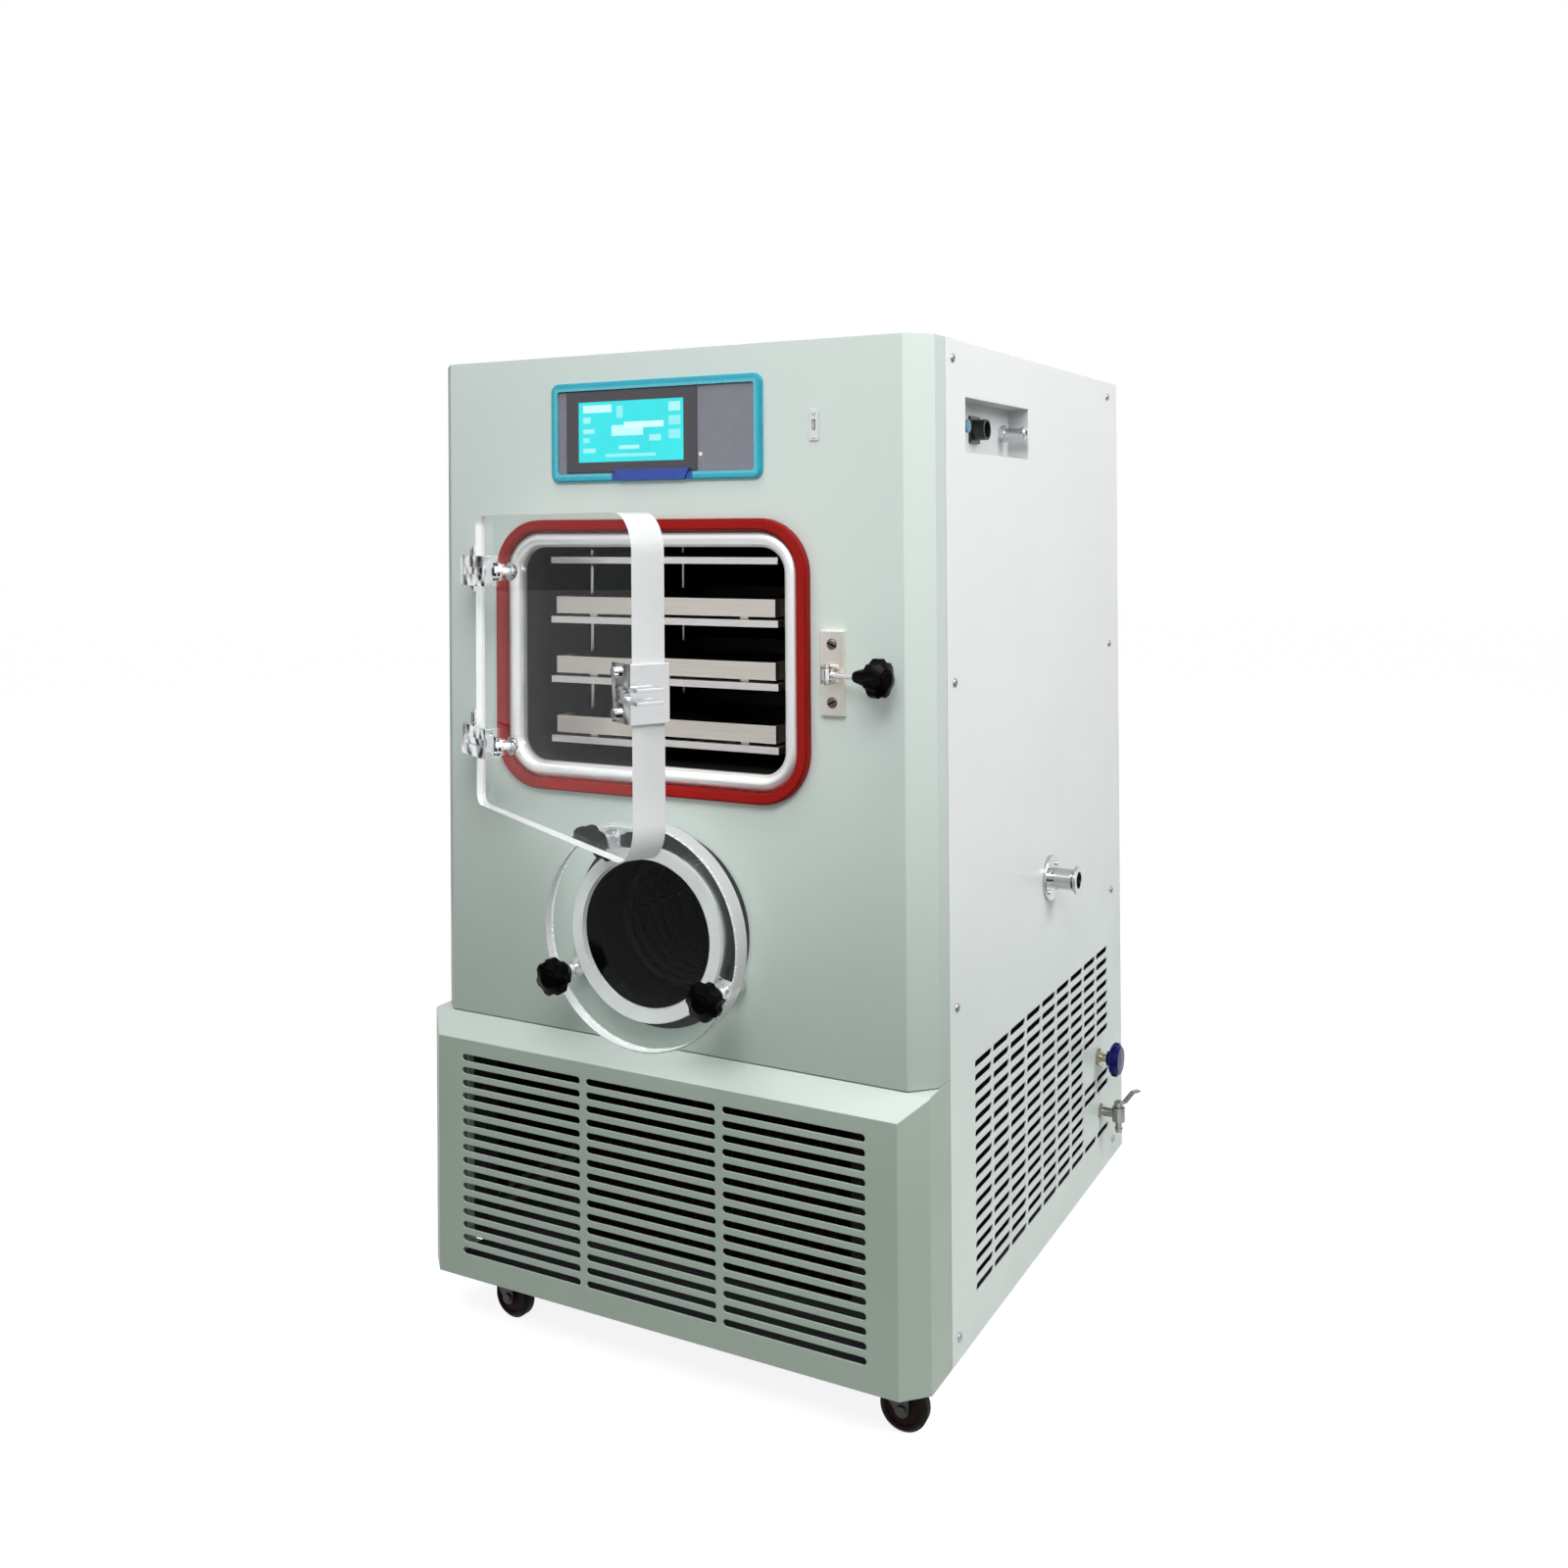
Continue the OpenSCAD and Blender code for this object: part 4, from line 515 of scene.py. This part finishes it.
def frame_blue():
    """Moulded blue-green frame with a paler inner bevel and a dark blue tab."""
    low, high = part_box("display_frame")
    f = plastic("frame_blue", (0.006, 0.330, 0.440), 0.28, coat=0.3)
    mid = (low.x + high.x) / 2
    slope = f.noise(50.0, detail=2.0)
    body = f.mix(slope, (0.004, 0.300, 0.410), (0.010, 0.370, 0.480))
    edge = 0.007
    rim = f.inside(0.0006, x=(low.x + edge, high.x - edge), z=(low.z + edge, high.z - edge))
    body = f.mix(f.calc("MULTIPLY", rim, 0.55), body, (0.16, 0.50, 0.58))
    tab = f.inside(0.0005, x=(mid - 0.064, mid + 0.062), z=(low.z - 0.01, low.z + 0.0170),
                   y=(low.y - 0.01, low.y + 0.0030))
    f.set("Base Color", f.mix(tab, body, (0.012, 0.045, 0.290)))
    return f


def grey_panel():
    """Grey control panel with one small pale indicator."""
    low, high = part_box("display_panel")
    f = plastic("panel_grey", (0.145, 0.150, 0.175), 0.5, grain=1400.0)
    tone = f.mix(f.noise(60.0, detail=3.0), (0.165, 0.170, 0.200), (0.205, 0.210, 0.240))
    dot_x, dot_z = high.x - 0.080, low.z + 0.022
    dx = f.calc("SUBTRACT", f.split.outputs[0], dot_x)
    dz = f.calc("SUBTRACT", f.split.outputs[2], dot_z)
    dot = f.remap(f.length(dx, dz), 0.0029, 0.0024)
    f.set("Base Color", f.mix(dot, tone, (0.75, 0.76, 0.76)))
    return f


def screen():
    """Dark bezel round a lit blue-green display with plain blocks of light on it."""
    low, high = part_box("touch_screen")
    f = plastic("screen_dark", BEZEL, 0.22, coat=0.5)
    cx, cz = (low.x + high.x) / 2, (low.z + high.z) / 2
    half_w, half_h = 0.083, 0.0405
    lit = f.inside(0.0003, x=(cx - half_w, cx + half_w), z=(cz - half_h, cz + half_h),
                   y=(None, low.y + 0.004))
    glow = f.noise(16.0, detail=3.0)
    tone = f.mix(glow, (0.000, 0.640, 0.690), (0.010, 0.820, 0.840))
    # each block: x from and to, z from and to, from the screen's middle, and how bright it is
    blocks = [(-0.076, -0.030, 0.026, 0.036, 0.80), (-0.076, -0.064, 0.012, 0.020, 0.45),
              (-0.076, -0.058, -0.002, 0.004, 0.50), (-0.076, -0.066, -0.014, -0.008, 0.40),
              (-0.076, -0.056, -0.028, -0.022, 0.45), (-0.022, -0.012, 0.018, 0.034, 0.35),
              (-0.030, 0.020, -0.006, 0.008, 0.75), (-0.010, 0.052, 0.004, 0.012, 0.90),
              (0.030, 0.048, -0.014, -0.006, 0.50), (0.060, 0.078, 0.024, 0.036, 0.55),
              (0.060, 0.078, 0.006, 0.018, 0.35), (0.060, 0.078, -0.012, 0.000, 0.35),
              (-0.040, 0.040, -0.034, -0.030, 0.40), (-0.018, 0.014, -0.024, -0.019, 0.60)]
    for x0, x1, z0, z1, share in blocks:
        block = f.inside(0.0008, x=(cx + x0, cx + x1), z=(cz + z0, cz + z1))
        tone = f.mix(f.calc("MULTIPLY", block, share), tone, (0.80, 1.0, 1.0))
    rows = f.remap(f.calc("SINE", f.calc("MULTIPLY", f.split.outputs[2], 2600.0)), -1.0, 1.0, 0.93, 1.0)
    f.set("Base Color", f.mix(lit, BEZEL, (0.0, 0.10, 0.11)))
    f.set("Emission Color", tone)
    f.set("Emission Strength", f.calc("MULTIPLY", f.calc("MULTIPLY", lit, rows), 0.95))
    f.set("Roughness", f.remap(lit, 0.0, 1.0, 0.24, 0.12))
    return f


def port():
    """White socket surround, black inside its slot."""
    low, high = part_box("data_port")
    f = plastic("port_white", PORT_WHITE, 0.4)
    cx, cz = (low.x + high.x) / 2, (low.z + high.z) / 2
    half_w, half_h = 0.0023, 0.0066
    slot = f.inside(0.0002, x=(cx - half_w, cx + half_w), z=(cz - half_h, cz + half_h),
                    y=(low.y + 0.0022, None))
    f.set("Base Color", f.mix(slot, PORT_WHITE, (0.015, 0.015, 0.018)))
    return f


def fittings():
    """Blue-green coupling, black socket and steel nozzle in one recess."""
    low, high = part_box("recess_fittings")
    f = brushed("fitting_metal", (0.62, 0.63, 0.64), 0.24, "x")
    coupling_end = low.y + (high.y - low.y) * 0.22
    socket_end = low.y + (high.y - low.y) * 0.72
    coupling = f.inside(0.001, y=(None, coupling_end))
    socket = f.inside(0.001, y=(coupling_end, socket_end))
    steel = f.mix(f.noise(700.0, (0.02, 1, 1)), (0.60, 0.61, 0.62), (0.74, 0.75, 0.76))
    tone = f.mix(coupling, steel, (0.03, 0.22, 0.32))
    f.set("Base Color", f.mix(socket, tone, (0.012, 0.012, 0.012)))
    f.set("Metallic", f.calc("SUBTRACT", 1.0, f.calc("MAXIMUM", coupling, socket)))
    return f


def castor_wheel(node, number):
    """Black tread, worn and dusty, on a dark red hub."""
    low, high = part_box(node)
    f = rubber(f"wheel_rubber_{number}", (0.008, 0.008, 0.008), 0.6, shine=0.15)
    centre = (low + high) / 2
    away = f.node("ShaderNodeVectorMath", {0: f.coords.outputs["Object"], 1: tuple(centre)},
                  operation="DISTANCE").outputs["Value"]
    hub_radius = 0.0258
    hub = f.remap(away, hub_radius + 0.0004, hub_radius - 0.0004)
    scuff = f.noise(90.0, detail=4.0, rough=0.6)
    tread = f.mix(f.remap(scuff, 0.5, 0.75, 0.0, 0.6), (0.005, 0.005, 0.005), (0.022, 0.020, 0.018))
    red = f.mix(scuff, (0.010, 0.003, 0.003), (0.026, 0.006, 0.005))
    f.set("Base Color", f.mix(hub, tread, red))
    return f


def dress_all():
    """One finish for each material slot of the record. The castor wheels have one each."""
    by_slot = {
        "frame_steel": paint("frame_steel", (0.035, 0.038, 0.042), 0.5),
        "front_paint": paint("front_paint", GREEN, low=(0.60, 0.66, 0.60)),
        "base_paint": paint("base_paint", shade(GREEN, 0.985), low=(0.60, 0.66, 0.58)),
        "side_paint": paint("side_paint", OFF_WHITE, 0.36, low=(0.84, 0.92, 0.86)),
        "rear_paint": paint("rear_paint", shade(OFF_WHITE, 0.97), 0.42),
        "top_paint": paint("top_paint", OFF_WHITE, 0.40),
        "screw_steel": chrome("screw_steel", (0.30, 0.30, 0.31), 0.30),
        "chamber_steel": steel_chamber(),
        "red_rubber": rubber("red_rubber", (0.270, 0.006, 0.004), 0.52, 0.03, 0.20),
        "shelf_steel": brushed("shelf_steel", (0.84, 0.815, 0.79), 0.30, "x"),
        "rod_steel": brushed("rod_steel", (0.62, 0.62, 0.63), 0.22, "z"),
        "tray_steel": trays(),
        # painted shade: the cold trap's can and coil are near black and matt, for the dark inside the trap
        "can_steel": brushed("can_steel", (0.003, 0.0025, 0.002), 0.46, "y", metal=0.0),
        "coil_steel": brushed("coil_steel", (0.006, 0.0045, 0.0035), 0.44, "z", metal=0.0),
        "collar_steel": brushed("collar_steel", (0.82, 0.82, 0.83), 0.18, "y"),
        "seal_rubber": seals(),
        "stud_chrome": chrome("stud_chrome", (0.74, 0.74, 0.76), 0.14),
        "lid_acrylic": acrylic("lid_acrylic", (0.0, -1.0, 0.0)),
        "washer_rubber": rubber("washer_rubber", (0.018, 0.018, 0.018)),
        "knob_plastic": plastic("knob_plastic", (0.002, 0.002, 0.002), 0.18, shine=0.04),
        "door_acrylic": acrylic("door_acrylic", main_normal(NODES["chamber_door"])),
        "hinge_chrome": chrome("hinge_chrome"),
        "bolt_chrome": chrome("bolt_chrome", (0.82, 0.83, 0.85), 0.07),
        "catch_steel": chrome("catch_steel", (0.66, 0.67, 0.68), 0.12),
        "latch_steel": latch_steel(),
        "frame_blue": frame_blue(),
        "panel_grey": grey_panel(),
        "screen_dark": screen(),
        "port_white": port(),
        "recess_paint": paint("recess_paint", (0.62, 0.64, 0.64), 0.40),
        "fitting_metal": fittings(),
        "port_steel": chrome("port_steel", (0.52, 0.53, 0.54), 0.14),
        "valve_brass": brushed("valve_brass", (0.40, 0.37, 0.28), 0.24, "x"),
        "knob_blue": plastic("knob_blue", (0.004, 0.005, 0.090), 0.22, shine=0.12),
        "tap_chrome": chrome("tap_chrome", (0.30, 0.30, 0.28), 0.20),
        "compressor_black": paint("compressor_black", (0.012, 0.012, 0.013), 0.32, 0.0002),
        # painted shade: the condenser behind the grille is near black and matt, for the dark inside the
        # cabinet
        "condenser_alu": brushed("condenser_alu", (0.020, 0.020, 0.021), 0.5, "z", metal=0.0),
        "fan_plastic": plastic("fan_plastic", (0.022, 0.022, 0.023), 0.5),
        "gland_plastic": plastic("gland_plastic", (0.018, 0.018, 0.018), 0.42),
        "fork_steel": paint("fork_steel", (0.006, 0.006, 0.006), 0.40),
    }
    for node, slot in SLOTS.items():
        if slot in by_slot:
            dress(node, by_slot[slot])
    for number in range(1, 5):
        wheel = f"castor_wheel_{number}"
        dress(wheel, castor_wheel(wheel, number))
    # clear plastic: its shadow would be as dark as that of steel
    for node in ("chamber_door", "trap_lid"):
        NODES[node].visible_shadow = False


# ---------- small parts ----------

def piece(name, bm, finish, body, smooth=False):
    """Makes a mesh piece of the scene that rides on a body."""
    mesh = bpy.data.meshes.new(name)
    bm.normal_update()
    bm.to_mesh(mesh)
    bm.free()
    for face in mesh.polygons:
        face.use_smooth = smooth
    mesh.materials.append(finish.mat)
    obj = bpy.data.objects.new(name, mesh)
    bpy.context.scene.collection.objects.link(obj)
    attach(obj, body)
    return obj


def islands(node, reach=0.012):
    """The boxes of a node's small separate solids: faces within reach of each other are one solid."""
    found = []
    for face in NODES[node].data.polygons:
        for start, used in found:
            if (start - face.center).length < reach:
                used.extend(face.vertices)
                break
        else:
            found.append((face.center.copy(), list(face.vertices)))
    boxes = []
    for _, used in found:
        points = [NODES[node].data.vertices[i].co for i in used]
        boxes.append((Vector(map(min, *points)), Vector(map(max, *points))))
    return boxes


def screw_head(radius, height):
    """A pan head with a cross recess, standing along +Z on its seat."""
    bm = bmesh.new()
    rings = []
    profile = [(0.0, height), (0.45, height * 0.98), (0.72, height * 0.86), (0.90, height * 0.62),
               (0.985, height * 0.30), (1.0, 0.0)]
    sides = 28
    for share, z in profile:
        if share == 0.0:
            rings.append([bm.verts.new((0, 0, z))])
            continue
        rings.append([bm.verts.new((radius * share * math.cos(2 * math.pi * i / sides),
                                    radius * share * math.sin(2 * math.pi * i / sides), z))
                      for i in range(sides)])
    for i in range(sides):
        j = (i + 1) % sides
        bm.faces.new((rings[0][0], rings[1][i], rings[1][j]))
        for a, b in zip(rings[1:], rings[2:]):
            bm.faces.new((a[i], b[i], b[j], a[j]))
    bm.faces.new(list(reversed(rings[-1])))
    head = bpy.data.meshes.new("head")
    bm.to_mesh(head)
    bm.free()
    arm, wide, deep = radius * 0.52, radius * 0.13, height * 0.45
    plan = [(-wide, -arm), (wide, -arm), (wide, -wide), (arm, -wide), (arm, wide), (wide, wide), (wide, arm),
            (-wide, arm), (-wide, wide), (-arm, wide), (-arm, -wide), (-wide, -wide)]
    bm = bmesh.new()
    floor = [bm.verts.new((x * 0.7, y * 0.7, height - deep)) for x, y in plan]
    top = [bm.verts.new((x, y, height * 1.3)) for x, y in plan]
    bm.faces.new(top)
    bm.faces.new(list(reversed(floor)))
    for i in range(len(plan)):
        j = (i + 1) % len(plan)
        bm.faces.new((floor[i], floor[j], top[j], top[i]))
    cut = bpy.data.meshes.new("cut")
    bm.to_mesh(cut)
    bm.free()
    objs = [bpy.data.objects.new(m.name, m) for m in (head, cut)]
    for obj in objs:
        bpy.context.scene.collection.objects.link(obj)
    modifier = objs[0].modifiers.new("cross", "BOOLEAN")
    modifier.operation, modifier.object, modifier.solver = "DIFFERENCE", objs[1], "EXACT"
    bpy.context.view_layer.update()
    made = bpy.data.meshes.new_from_object(objs[0].evaluated_get(bpy.context.evaluated_depsgraph_get()))
    for obj in objs:
        bpy.data.objects.remove(obj)
    return made


def screws(finish):
    """Cross-recessed heads in the place of the plain ones, each turned a little differently."""
    centre = (CAD_BOX[0] + CAD_BOX[1]) / 2
    bm = bmesh.new()
    heads = {}
    for number, (low, high) in enumerate(islands("screws")):
        size = high - low
        axis = min(range(3), key=lambda i: size[i])
        height, radius = size[axis], max(size) / 2
        outward = 1 if (low[axis] + high[axis]) / 2 > centre[axis] else -1
        key = (round(radius, 4), round(height, 4))
        if key not in heads:
            heads[key] = screw_head(radius, height)
        direction = Vector([outward if i == axis else 0 for i in range(3)])
        seat = (low + high) / 2 - direction * height / 2
        start = len(bm.verts)
        bm.from_mesh(heads[key])
        bm.verts.ensure_lookup_table()
        turn = direction.to_track_quat("Z", "Y").to_matrix().to_4x4()
        spin = Matrix.Rotation(math.radians(37 * number % 90), 4, "Z")
        bmesh.ops.transform(bm, matrix=Matrix.Translation(seat) @ turn @ spin, verts=bm.verts[start:])
    obj = piece("screw_heads", bm, finish, "cabinet", smooth=True)
    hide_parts("screws")
    edge = obj.modifiers.new("crease", "EDGE_SPLIT")
    edge.split_angle = math.radians(35)


def shade_sheet(side, finish):
    """A pleated near-black sheet behind one side's grille, put there as painted shade so that the slots look
    into the dark.
    """
    low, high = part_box(f"side_panel_{side}")
    outer, inner = 0.009, 0.025
    x0, x1 = (low.x + outer, low.x + inner) if side == "left" else (high.x - outer, high.x - inner)
    y0, y1 = low.y + 0.050, high.y - 0.070
    z0, z1 = 0.135, 0.432
    count = 90
    bm = bmesh.new()
    rows = []
    for z in (z0, (z0 + z1) / 2, z1):
        rows.append([bm.verts.new((x0 if i % 2 else x1, y0 + (y1 - y0) * i / count, z))
                     for i in range(count + 1)])
    for lower, upper in zip(rows, rows[1:]):
        for i in range(count):
            bm.faces.new((lower[i], lower[i + 1], upper[i + 1], upper[i]))
    obj = piece(f"shade_sheet_{side}", bm, finish, "cabinet")
    thick = obj.modifiers.new("shade_felt", "SOLIDIFY")
    thick.thickness, thick.offset = 0.0016, 0.0


# ---------- make ----------

camera()
studio()
dress_all()
screws(chrome("screw_plating", (0.34, 0.34, 0.35), 0.30))
# painted shade: a near-black sheet for the dark behind the side grilles
shade_felt = rubber("shade_sheet_black", (0.012, 0.012, 0.013), 0.9, 0.03, 0.05)
for side in ("left", "right"):
    shade_sheet(side, shade_felt)
